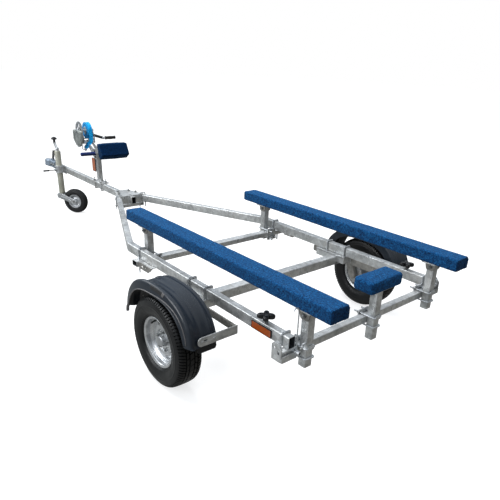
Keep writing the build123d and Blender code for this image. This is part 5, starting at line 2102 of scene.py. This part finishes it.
def wheel_parts(side, s):
    """Hub, rim and tyre about the wheel's own axis."""
    c = (X_AX, s * WHEEL_Y, TYRE_R)
    ax = (0, s, 0)
    body = "wheel_" + side
    hp = [(17.6, -112), (58, -112), (62, -110), (62, -64), (60, -60),
          (50, -53), (48, -50), (48, -12), (52, -8), (64, -3), (66, -1),
          (66, 8.5), (65, 9.4), (30, 9.4), (29.5, 12), (29.5, 33),
          (28.5, 36), (24, 39.4), (12, 40), (0.6, 40), (0.6, 34),
          (17, 33), (17.6, 8), (17.6, 6)]
    bits = [lathe("hb", hp, c, ax, M["hub"], n=72)]
    for k in range(5):
        a = math.radians(90 + 72 * k)
        p = Vector((c[0] + 50 * math.cos(a), c[1] + s * 13.6,
                    c[2] + 50 * math.sin(a)))
        bits.append(lathe("st", [(0.01, 0), (6, 0), (6, 16), (5, 17.5),
                                 (0.01, 17.5)], p, ax, M["bolt"], n=16))
        bits.append(lathe("sw", [(0.01, 0), (11.5, 0), (10.4, 2.6),
                                 (0.01, 2.6)], p, ax, M["bolt"], n=24))
        bits.append(nut("sn", p + Vector((0, s * 2.4, 0)), ax, 18, 11))
    # grease cap lip
    bits.append(lathe("gc", [(28, 9.6), (33.5, 9.6), (34.5, 11), (33, 13.4),
                             (29, 14)], c, ax, M["hub"], n=48))
    done(join("wheel_hub_%s_m" % side, bits), body,
         ["wheel_hub_" + side])

    pts = [(139, 51.5), (139, 47), (133, 46), (128, 45.4), (127, 43.5),
           (126.6, 30), (126, 24), (122, 20), (114, 14.5), (112, 12),
           (112, -12), (114, -14.5), (122, -20), (126, -24), (126.6, -30),
           (127, -43.5), (128, -45.4), (133, -46), (139, -47), (139, -51.5),
           (136.5, -53), (131, -50.6), (125.5, -48.6), (123.4, -45),
           (122.8, -25.5), (119, -20.5), (111, -16.4), (108.6, -13),
           (108.6, 0), (106, 3.6), (98, 6), (92, 10), (88, 15), (82, 17.5),
           (66, 17.5), (62, 16), (57, 10.6), (54, 9.6), (30, 9.6),
           (30, 13.6), (52, 13.6), (55, 14.6), (60, 20), (65, 21.5),
           (83, 21.5), (90, 19), (96, 13.4), (103, 9.6), (107, 11),
           (108.8, 14), (111, 16.4), (119, 20.5), (122.8, 25.5),
           (123.4, 45), (125.5, 48.6), (131, 50.6), (136.5, 53)]
    rim = lathe("wr", pts, c, ax, M["rim"], n=128)
    cut = []
    for k in range(8):
        a = math.radians(22.5 + 45 * k)
        cut.append(lathe("c", [(0.01, -8), (9.5, -8), (9.5, 32), (0.01, 32)],
                         (c[0] + 90 * math.cos(a), c[1],
                          c[2] + 90 * math.sin(a)), ax, M["rim"], n=24))
    cutter = join("cutter", cut)
    mod = rim.modifiers.new("c", "BOOLEAN")
    mod.operation = "DIFFERENCE"
    mod.solver = "EXACT"
    mod.object = cutter
    apply_mods(rim)
    bpy.data.objects.remove(cutter)
    shade(rim, 28)
    # rolled weld seam round the disc and a valve
    a = math.radians(60)
    vp = Vector((c[0] + 112 * math.cos(a), c[1] + s * 24,
                 c[2] + 112 * math.sin(a)))
    vd = Vector((-0.25 * math.cos(a), s * 0.95, -0.25 * math.sin(a)))
    valve = lathe("vv", [(0.01, -4), (8, -4), (8, 0), (5.5, 4), (4.2, 14),
                         (4.2, 20), (5, 21), (5, 30), (4, 31), (0.01, 31)],
                  vp, vd, M["tyre"], n=20)
    weld = lathe("wl", [(106.5, 9), (109.5, 12.5), (109.5, 8)], c, ax,
                 M["rim"], n=96)
    done(join("wheel_rim_%s_m" % side, [rim, valve, weld]), body,
         ["wheel_rim_" + side])
    tyre_mesh("wheel_tyre_%s_m" % side, c, s, body, "wheel_tyre_" + side)


def tyre_mesh(name, c, s, body, node):
    """145/80 R10 with blocked shoulders and three ribs."""
    cyc, fr = 88, (0.0, 0.05, 0.35, 0.65, 0.70, 0.85)
    D = 8.5
    # half section: (r, y, kind) kind: how the pattern acts on this row
    half = [(245.0, 0, "c"), (245.0, 6, "c"), (244.9, 10.8, "c"),
            (244.9, 11.6, "g"), (244.8, 16.2, "g"), (244.8, 17.0, "m"),
            (244.6, 23, "m"), (244.3, 29.4, "m"), (244.2, 30.2, "g"),
            (243.9, 34.8, "g"), (243.8, 35.6, "s"), (243.0, 43, "s"),
            (241.6, 50, "s"), (238.6, 56, "s"), (234.0, 60.6, "s"),
            (229.5, 63.6, "s"), (226.0, 65.4, "t"), (222.5, 66.6, "n"),
            (214, 69, "n"), (208, 69.8, "n"), (205, 70.0, "n"),
            (203.5, 71.0, "n"), (199.5, 71.2, "n"), (198, 70.4, "n"),
            (190, 70.8, "n"), (178, 69.4, "n"), (166, 66.2, "n"),
            (158, 62.6, "n"), (154, 61.0, "n"), (152.5, 61.8, "n"),
            (149, 60.0, "n"), (147.5, 57.4, "n"), (144, 54.6, "n"),
            (141.5, 52.0, "n"), (139.7, 48.6, "n"), (139.4, 46.2, "n"),
            (133, 45.2, "n"), (127.4, 43.6, "n"), (127.4, 20, "n")]
    rows = [(r, -y, k) for r, y, k in reversed(half[1:])] + half
    n = cyc * len(fr)
    verts, faces = [], []
    for ri, (r, y, kind) in enumerate(rows):
        # zig-zag slant of the blocks
        sl = 0.0
        ay = abs(y)
        if kind == "c":
            sl = y * 0.025
        elif kind == "m":
            sl = 0.5 + (ay - 23) * 0.030
        elif kind in ("s", "g", "t"):
            sl = 0.15 - (min(ay, 58) - 36) * 0.012
        if kind == "n":
            sl = 0.15 - 22 * 0.012
        for k in range(cyc):
            for j, f in enumerate(fr):
                if kind == "g":
                    dep = D
                elif kind == "s":
                    dep = 0 if j in (1, 2, 3) else D
                elif kind == "t":
                    dep = 0 if j in (1, 2, 3) else 1.5
                elif kind == "m":
                    dep = D * 0.8 if (j in (4, 5) and k % 2 == 0) else 0
                elif kind == "c":
                    dep = D * 0.7 if (j in (4, 5) and k % 2 == 1) else 0
                else:
                    dep = 0
                th = 2 * math.pi * (k + f + sl) / cyc
                if kind == "s" and ay > 52:
                    # shoulder slots leave through the side
                    rr = r - dep * 0.55
                    yy = y - math.copysign(dep * 0.75, y)
                elif kind == "t":
                    rr, yy = r, y - math.copysign(dep, y)
                else:
                    rr, yy = r - dep, y
                verts.append(Vector((c[0] + rr * math.cos(th),
                                     c[1] + s * yy,
                                     c[2] + rr * math.sin(th))) * MM)
    m = len(rows)
    for i in range(m - 1):
        for k in range(n):
            k2 = (k + 1) % n
            faces.append((i * n + k, i * n + k2, (i + 1) * n + k2,
                          (i + 1) * n + k))
    for k in range(n):
        k2 = (k + 1) % n
        faces.append(((m - 1) * n + k, (m - 1) * n + k2, k2, k))
    ob = make_obj(name, verts, faces, M["tyre"], smooth=38)
    done(ob, body, [node])
    return ob


for side, s in (("left", 1), ("right", -1)):
    wheel_parts(side, s)


# =============================================================== mudguards
def guard_f(deg):
    c, sn = math.cos(math.radians(deg)), math.sin(math.radians(deg))
    return (abs(c / GUARD_A) ** GUARD_N
            + abs(sn / GUARD_B) ** GUARD_N) ** (-1.0 / GUARD_N)


def guard_at(s, y, dr, deg):
    """Point off the guard's side-view curve, deg up from the rear side."""
    a = math.radians(deg)
    rr = guard_f(deg) + dr
    return Vector((GUARD_CX - rr * math.cos(a), s * y,
                   GUARD_CZ + rr * math.sin(a))) * MM


def guard_mesh(name, s):
    """Moulded shell: a stiff ridge inside, a flat crown with a shallow
    groove, a roll and a deep outer lip with a bead; each line of it ends on
    its own angle so the corners are round."""
    prof = [(-2.4, 712.8), (0.2, 712.0), (2.4, 713.2), (2.8, 717),
            (1.0, 721), (0.3, 726), (1.8, 733), (5.0, 738.4), (6.6, 742.5),
            (5.6, 747), (2.6, 752), (1.4, 760), (1.4, 778), (1.2, 791),
            (-0.6, 795.6), (-1.2, 800), (-0.4, 804.4), (1.4, 809),
            (2.2, 818), (2.8, 827), (5.2, 834), (9.6, 841), (13.6, 847.4),
            (16.2, 853), (17.2, 858.6), (16.0, 863.6), (12.4, 867.6),
            (6.6, 870.4), (-0.2, 872.6), (-7.6, 874.6), (-16, 876.6),
            (-24, 878.8), (-27.6, 879.8), (-29.4, 881.4), (-31.4, 882.0),
            (-33.6, 881.4), (-34.4, 879.4), (-33.6, 877.4)]
    t = 3.2
    # inner skin: offset the section inwards
    P = [Vector((y, dr)) for dr, y in prof]
    inn = []
    for i, p in enumerate(P):
        a, b = P[max(i - 1, 0)], P[min(i + 1, len(P) - 1)]
        d = (b - a).normalized()
        nrm = Vector((d.y, -d.x))     # points inwards: smaller radius
        k = t if i < len(P) - 5 else 1.4
        inn.append(p + nrm * k)
    N = 150
    R_end = 30.0

    def ends(y):
        lo, hi = GUARD_REAR, GUARD_FRONT
        over = min(y - (GUARD_Y1 - R_end), R_end)
        if over > 0:
            k = R_end - math.sqrt(max(R_end ** 2 - over ** 2, 0))
            lo += math.degrees(k / GUARD_A)
            hi -= math.degrees(k / GUARD_A) * 1.25
        under = (GUARD_Y0 + 12) - y
        if under > 0:
            k = 12 - math.sqrt(max(12 ** 2 - under ** 2, 0))
            lo += math.degrees(k / GUARD_A)
            hi -= math.degrees(k / GUARD_A)
        return lo, hi

    M2 = len(prof)
    verts, faces = [], []
    lists = ([(p.x, p.y) for p in P], [(q.x, q.y) for q in inn])
    for li, lst in enumerate(lists):
        for (y, dr) in lst:
            lo, hi = ends(max(min(y, GUARD_Y1), GUARD_Y0))
            for k in range(N + 1):
                f = k / N
                deg = lo + (hi - lo) * f
                # both ends turn slightly outwards to a stiff edge
                e = min(f, 1 - f) * (hi - lo) * math.radians(1) * GUARD_A
                curl = (3.4 if li == 0 else 1.0) * math.exp(
                    -(e / 4.5) ** 2)
                wav = 0.45 * noise.noise(Vector((deg * 0.09, y * 0.02, s)))
                verts.append(guard_at(s, y, dr + curl + wav, deg))
    cols = N + 1

    def vi(l, j, k):
        return (l * M2 + j) * cols + k

    for j in range(M2 - 1):
        for k in range(N):
            faces.append((vi(0, j, k), vi(0, j, k + 1), vi(0, j + 1, k + 1),
                          vi(0, j + 1, k)))
            faces.append((vi(1, j, k), vi(1, j + 1, k), vi(1, j + 1, k + 1),
                          vi(1, j, k + 1)))
    for k in range(N):
        faces.append((vi(0, 0, k), vi(1, 0, k), vi(1, 0, k + 1),
                      vi(0, 0, k + 1)))
        j = M2 - 1
        faces.append((vi(0, j, k), vi(0, j, k + 1), vi(1, j, k + 1),
                      vi(1, j, k)))
    for j in range(M2 - 1):
        faces.append((vi(0, j, 0), vi(0, j + 1, 0), vi(1, j + 1, 0),
                      vi(1, j, 0)))
        faces.append((vi(0, j, N), vi(1, j, N), vi(1, j + 1, N),
                      vi(0, j + 1, N)))
    shell = make_obj(name, verts, faces, M["plastic"], smooth=42)
    # flap: thinner sheet below the rear end
    fv, ff = [], []
    A, B = 14, 18
    fy0, fy1 = GUARD_Y0 + 4, GUARD_Y0 + 112
    for off in (-0.8, -3.8):
        for b in range(B + 1):
            y = fy0 + (fy1 - fy0) * b / B
            edge = min(y - fy0, fy1 - y)
            cutk = 12 - math.sqrt(max(144 - max(12 - edge, 0) ** 2, 0))
            lo = FLAP_END + math.degrees(cutk / GUARD_A)
            for k in range(A + 1):
                deg = lo + (20.5 - lo) * k / A
                fv.append(guard_at(s, y, off - 2.6, deg))
    nA, nB = A + 1, B + 1

    def fi(l, j, k):
        return (l * nB + j) * nA + k
    for j in range(B):
        for k in range(A):
            ff.append((fi(0, j, k), fi(0, j, k + 1), fi(0, j + 1, k + 1),
                       fi(0, j + 1, k)))
            ff.append((fi(1, j, k), fi(1, j + 1, k), fi(1, j + 1, k + 1),
                       fi(1, j, k + 1)))
    for k in range(A):
        for j in (0, B):
            ff.append((fi(0, j, k), fi(1, j, k), fi(1, j, k + 1),
                       fi(0, j, k + 1)))
    for j in range(B):
        for k in (0, A):
            ff.append((fi(0, j, k), fi(0, j + 1, k), fi(1, j + 1, k),
                       fi(1, j, k)))
    flap = make_obj(name + "_flap", fv, ff, M["tyre_small"], smooth=42)
    # skirt down the inner edge, its lower edge beaded
    sk, K = [], 110
    sec = [(-1.2, 712.2), (-26, 712.0), (-44, 711.6), (-47.4, 711.0),
           (-48.6, 712.6), (-47.6, 714.8), (-44, 715.0), (-26, 715.2),
           (-1.2, 715.4)]
    for k in range(K + 1):
        f = k / K
        deg = GUARD_REAR + 3.0 + (GUARD_FRONT - GUARD_REAR - 11.0) * f
        low = 1.0 - math.exp(-min(f, 1 - f) * 34.0)
        sk.append([guard_at(s, y, dr * (0.35 + 0.65 * low), deg)
                   for dr, y in sec])
    skirt = make_obj(name + "_skirt", *skin(sk), M["plastic"], smooth=40)
    bits = [shell, flap, skirt]
    # bead along the lip, drawn in towards the rear corner, in lighter grey
    # plastic: a painted highlight
    keys = [(165, -30, 881), (158, -33, 882), (140, -33, 882),
            (123, -32, 882), (109, -31, 881.6), (96, -29, 880.6),
            (81, -24.5, 879.4), (70, -20, 878.2), (61, -15.5, 877),
            (53, -11, 876), (46, -9, 875.4), (36, -9, 875.2),
            (27, -10, 875.4), (22.5, -14, 876.4)]
    path = []
    for (d0, r0, y0), (d1, r1, y1) in zip(keys, keys[1:]):
        n = max(2, int(abs(d1 - d0) / 2.0))
        path += [(d0 + (d1 - d0) * k / n, r0 + (r1 - r0) * k / n,
                  y0 + (y1 - y0) * k / n) for k in range(n)]
    path.append(keys[-1])
    bits.append(rod("bd", [tuple(guard_at(s, y, r, d) / MM)
                           for d, r, y in path], 2.9, M["guard_grey_edge_painted_highlight"], n=10,
                    arcn=1))
    # moulded recess on the roll: a black pad paints the shade in the recess, a
    # lighter grey band paints the highlight on its end
    for d0, d1, mt in ((76.5, 96, "knob"), (72.5, 76, "guard_grey_edge_painted_highlight")):
        rings = []
        for k in range(13):
            d = d0 + (d1 - d0) * k / 12
            rings.append([guard_at(s, y, r, d) for r, y in (
                (13.5, 865.4), (10.6, 871.6), (-5.6, 875.4), (-7.4, 873.2),
                (2.0, 868.0))])
        bits.append(make_obj("pad", *skin(rings), M[mt], smooth=30))
    # thick curled tip at the front corner, rubber buffer above it
    a, b = guard_at(s, 879, -27, 157.5) / MM, guard_at(s, 881, -22, 167) / MM
    bits.append(rod("tip", [tuple(a), tuple((a + b) / 2 + Vector((5, 0, 0))),
                            tuple(b)], 8.5, M["guard_grey_edge_painted_highlight"], bend=[20],
                    n=18))
    q = guard_at(s, 804, 0, 143) / MM
    bits.append(lathe("buf", [(0.01, -10), (17, -10), (19, 4), (18, 20),
                              (13, 27), (0.01, 29)], q,
                      (math.cos(math.radians(37)), 0,
                       math.sin(math.radians(37))), M["knob"], n=28))
    for y in (735, 768, 801):
        p = guard_at(s, y, 1.0, 18.8)
        d = Vector((-math.cos(math.radians(12)), 0,
                    math.sin(math.radians(12))))
        bits.append(lathe("rv", [(0.01, 0), (4.6, 0), (4.2, 1.4), (2.2, 2.4),
                                 (0.01, 2.6)], p / MM, d, M["plastic"],
                          n=18))
    return join(name, bits)


for side, s in (("left", 1), ("right", -1)):
    done(guard_mesh("mudguard_%s_m" % side, s), "chassis",
         ["mudguard_" + side])

# stays: flat bars, rounded outer ends, fixed with domed heads
bits = []
for s in (1, -1):
    for x0, z0, z1, ye, slots, gx in (
            (STAY_REAR - 3, STAY_Z0, STAY_Z1, STAY_Y1, ((786, 377, 22),), 1),
            (STAY_FRONT + 3, 356.0, 390.0, 800.0, (), -1)):
        h = (z1 - z0) / 2
        zc = (z0 + z1) / 2
        out = [(STAY_Y0, z0), (ye - h, z0)]
        for k in range(1, 20):
            a = -math.pi / 2 + math.pi * k / 20
            out.append((ye - h + h * math.cos(a), zc + h * math.sin(a)))
        out += [(ye - h, z1), (STAY_Y0, z1)]
        holes = [slot2(a, b, ln, 4.0) for a, b, ln in slots]
        st = sheet_cut("stay", out, holes, ((x0, 0, 0), (0, 1, 0),
                                            (0, 0, 1)), 6.0, M["galv"], 1.2)
        if s < 0:
            m2 = mirror(st, "stay_r")
            bpy.data.objects.remove(st)
            st = m2
        bits.append(st)
        back = -1 if gx > 0 else 1
        for yy in (ye - h - 2, 735):
            bits.append(lathe("sb", [(0.01, 0), (9, 0), (8.6, 1.6), (6.2, 3.4),
                                     (3, 4.4), (0.01, 4.8)],
                              (x0 + back * 3, s * yy, zc), (back, 0, 0),
                              M["galv"], n=22))
            bits.append(rod("sd", [(x0 - back * 3, s * yy, zc),
                                   (x0 - back * 18, s * yy, zc)], 4.0,
                            M["bolt"], n=12))
        # raised stiffening fold at the carrier, and its clamping bolts
        e0 = x0 - back * 3
        bits.append(block("stb", min(e0, e0 - back * 40),
                          max(e0, e0 - back * 40),
                          min(s * 604, s * 609), max(s * 604, s * 609),
                          358, 390, M["galv_dull"], 1.0))
        for dx in (13, 29):
            bits += hex_bolt("sc", (e0 - back * dx, s * 609, 376),
                             (0, s, 0), 14, 7)
done(join("guard_stays_m", bits), "chassis", ["guard_stays"])

bits = []
for s in (1, -1):
    y0, y1 = sorted((s * STAY_Y0, s * (STAY_Y0 + 8)))
    xs = X_AX + AXLE_DX
    bits.append(block("gc", STAY_REAR, xs - SEAT_REAR, y0, y1, 352, 394,
                      M["galv_dull"], 1.4))
    bits.append(block("gc", xs + SEAT_FRONT, STAY_FRONT, y0, y1, 352, 394,
                      M["galv_dull"], 1.4))
    for e, x in ((-1, xs - SEAT_REAR - 1), (1, xs + SEAT_FRONT + 1)):
        bits.append(rod("gw", [(x, s * 599, 358), (x, s * 599, 392)], 3.6,
                        M["galv"], n=8))
done(join("guard_carriers_m", bits), "chassis",
     ["guard_carriers"])

# curled strap hook on the outer face of the right rear post, and a slim
# bent rod beside the left one
bits = []
y = -(496 + POST / 2)
bits.append(block("hk", REAR_POST_X - 14, REAR_POST_X + 14, y - 5, y, 560,
                  592, M["galv_bright"], 1.5))
bits.append(rod("hr", [(REAR_POST_X, y - 4, 586), (REAR_POST_X, y - 26, 586),
                       (REAR_POST_X, y - 28, 560),
                       (REAR_POST_X, y - 10, 552)], 4.6, M["galv_bright"],
                bend=[7, 8], n=12))
pts = [(REAR_POST_X, y - 6, 552), (REAR_POST_X, y - 26, 536),
       (REAR_POST_X, y - 30, 500), (REAR_POST_X, y - 16, 478),
       (REAR_POST_X, y - 20, 448), (REAR_POST_X, y - 46, 436),
       (REAR_POST_X, y - 60, 452), (REAR_POST_X, y - 54, 476)]
bits.append(rod("hc", pts, 4.8, M["galv_bright"],
                bend=[9, 12, 12, 12, 12, 12], n=12))
bits.append(rod("hb", [(REAR_POST_X, -516, 500), (REAR_POST_X, -536, 500)],
                5, M["bolt"], n=12))
bits += hex_bolt("hx", (REAR_POST_X, -518.5, 440), (0, -1, 0), 17, 7)
xr = REAR_CROSS_X - CROSS / 2 - 4.2
bits.append(rod("br", [(xr, 540, 386), (xr, 540, 594), (xr, 545, 619),
                       (xr, 562, 623), (xr, 573, 610)], 3.2,
                M["galv_bright"], bend=[16, 10, 8], n=12))
bits.append(rod("bl", [(REAR_POST_X - 28, 508, 424),
                       (REAR_POST_X - 28, 528, 458),
                       (REAR_POST_X - 26, 540, 463),
                       (REAR_POST_X - 20, 551, 434)], 4.0, M["galv_bright"],
                bend=[7, 7], n=12))
for s in (1, -1):
    bits.append(lathe("stub", [(7.6, 0), (10.6, 0), (10.6, -35),
                               (10.0, -36.5), (8.4, -36.5), (7.6, -35.5)],
                      (REAR_CROSS_X - CROSS / 2, s * 548, 404), (1, 0, 0),
                      M["galv_bright"], n=28))
    # a near-black disc set inside each stub: painted shade in the bore
    bits.append(lathe("stub_bore_shade_disc", [(0.01, -22), (7.6, -22), (7.6, -21),
                                  (0.01, -21)],
                      (REAR_CROSS_X - CROSS / 2, s * 548, 404), (1, 0, 0),
                      M["tube_inside_painted_shade"], n=28))
done(join("rear_post_hooks", bits), "chassis")

# =========================================================== light, camera
scene = bpy.context.scene
cam_d = bpy.data.cameras.new("photo_camera")
cam = bpy.data.objects.new("photo_camera", cam_d)
scene.collection.objects.link(cam)
cam_d.sensor_width = 36.0
cam_d.sensor_fit = "HORIZONTAL"
cam_d.lens = 35.42508
cam_d.shift_x = -0.0299555
cam_d.shift_y = 0.0613816
cam_d.clip_start = 0.05
cam_d.clip_end = 100.0
cam_d.dof.use_dof = False
ROT = ((-0.6557387483, 0.3282829039, -0.6798801578),
       (-0.7536840336, -0.2317342842, 0.6150281294),
       (0.0443516799, 0.9157125955, 0.3993787313))
mw = Matrix(ROT).to_4x4()
mw.translation = Vector((-3.55017864, 1.92490281, 1.56201978))
cam.matrix_world = mw
scene.camera = cam

world = bpy.data.worlds.new("studio")
scene.world = world
world.use_nodes = True
wn = world.node_tree
wn.nodes.clear()
wo = wn.nodes.new("ShaderNodeOutputWorld")
lp = wn.nodes.new("ShaderNodeLightPath")
bgc = wn.nodes.new("ShaderNodeBackground")
bgc.inputs[0].default_value = (1, 1, 1, 1)
bgc.inputs[1].default_value = 1.0
bgl = wn.nodes.new("ShaderNodeBackground")
tc = wn.nodes.new("ShaderNodeTexCoord")
sep = wn.nodes.new("ShaderNodeSeparateXYZ")
wn.links.new(tc.outputs["Generated"], sep.inputs[0])
grad = wn.nodes.new("ShaderNodeValToRGB")
el = grad.color_ramp.elements
el[0].position, el[0].color = 0.0, (0.36, 0.36, 0.35, 1)
el[1].position, el[1].color = 1.0, (1.15, 1.20, 1.26, 1)
for pos, col in ((0.22, (0.42, 0.425, 0.42)), (0.36, (0.44, 0.45, 0.445)),
                 (0.46, (0.20, 0.20, 0.195)), (0.53, (0.15, 0.165, 0.17)),
                 (0.60, (0.50, 0.56, 0.63)), (0.75, (0.86, 0.94, 1.03))):
    e = el.new(pos)
    e.color = (*col, 1)
mp = wn.nodes.new("ShaderNodeMath")
mp.operation = "MULTIPLY_ADD"
mp.inputs[1].default_value = 0.5
mp.inputs[2].default_value = 0.5
wn.links.new(sep.outputs[2], mp.inputs[0])
wn.links.new(mp.outputs[0], grad.inputs[0])
side = wn.nodes.new("ShaderNodeMath")
side.operation = "ADD"
wn.links.new(sep.outputs[0], side.inputs[0])
wn.links.new(sep.outputs[1], side.inputs[1])
sm = wn.nodes.new("ShaderNodeMath")
sm.operation = "MULTIPLY_ADD"
sm.inputs[1].default_value = 0.36
sm.inputs[2].default_value = 0.5
wn.links.new(side.outputs[0], sm.inputs[0])
tint = wn.nodes.new("ShaderNodeValToRGB")
te = tint.color_ramp.elements
te[0].position, te[0].color = 0.0, (0.70, 0.67, 0.62, 1)
te[1].position, te[1].color = 1.0, (1.22, 1.26, 1.28, 1)
mid_e = te.new(0.5)
mid_e.color = (1.0, 1.0, 1.0, 1)
wn.links.new(sm.outputs[0], tint.inputs[0])
wmul = wn.nodes.new("ShaderNodeMix")
wmul.data_type = "RGBA"
wmul.blend_type = "MULTIPLY"
wmul.inputs[0].default_value = 1.0
wn.links.new(grad.outputs[0], wmul.inputs[6])
wn.links.new(tint.outputs[0], wmul.inputs[7])
wn.links.new(wmul.outputs[2], bgl.inputs[0])
bgl.inputs[1].default_value = 0.80
mx = wn.nodes.new("ShaderNodeMixShader")
wn.links.new(lp.outputs["Is Camera Ray"], mx.inputs[0])
wn.links.new(bgl.outputs[0], mx.inputs[1])
wn.links.new(bgc.outputs[0], mx.inputs[2])
wn.links.new(mx.outputs[0], wo.inputs[0])


def area(name, loc, target, size, power, col=(1, 1, 1)):
    d = bpy.data.lights.new(name, "AREA")
    d.energy = power
    d.shape = "RECTANGLE"
    d.size, d.size_y = size
    d.color = col
    o = bpy.data.objects.new(name, d)
    scene.collection.objects.link(o)
    o.location = loc
    o.rotation_euler = (Vector(target) - Vector(loc)).to_track_quat(
        "-Z", "Y").to_euler()
    return o


key = area("key", (0.4, 0.6, 7.0), (0, 0, 0.4), (4.5, 4.5), 560)
key.visible_glossy = False     # no white glare on level faces from above
fill = area("fill", (0.5, 7.0, 3.2), (-0.4, 0, 0.5), (5.0, 2.5), 260)
rim_l = area("rim", (4.5, 2.5, 3.4), (0, 0, 0.6), (3.0, 3.0), 90)

# plain pale floor: takes soft contact shadows and throws no light back
fm, fnt, fb, fco = new_mat("pale_floor")
fb.inputs["Base Color"].default_value = (0.42, 0.42, 0.42, 1)
fb.inputs["Roughness"].default_value = 1.0
fb.inputs["Specular IOR Level"].default_value = 0.0
fb.inputs["Emission Color"].default_value = (1, 1, 1, 1)
fb.inputs["Emission Strength"].default_value = 0.70
fmesh = bpy.data.meshes.new("floor")
fmesh.from_pydata([(-60, -60, -0.0015), (60, -60, -0.0015),
                   (60, 60, -0.0015), (-60, 60, -0.0015)], [],
                  [(0, 1, 2, 3)])
fmesh.materials.append(fm)
floor = bpy.data.objects.new("floor", fmesh)
scene.collection.objects.link(floor)
floor.visible_diffuse = False
floor.visible_glossy = False
floor.visible_transmission = False
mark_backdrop(key, fill, rim_l, floor)

scene.view_settings.view_transform = "Standard"
scene.view_settings.look = "None"
scene.view_settings.exposure = 0.0

tri = 0
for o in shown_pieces():
    if o.type == "MESH" and not o.get("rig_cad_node"):
        n = sum(len(p.vertices) - 2 for p in o.data.polygons)
        tri += n
        if n > 60000:
            print("TRI", o.name, n)
print("TOTAL TRIANGLES", tri)
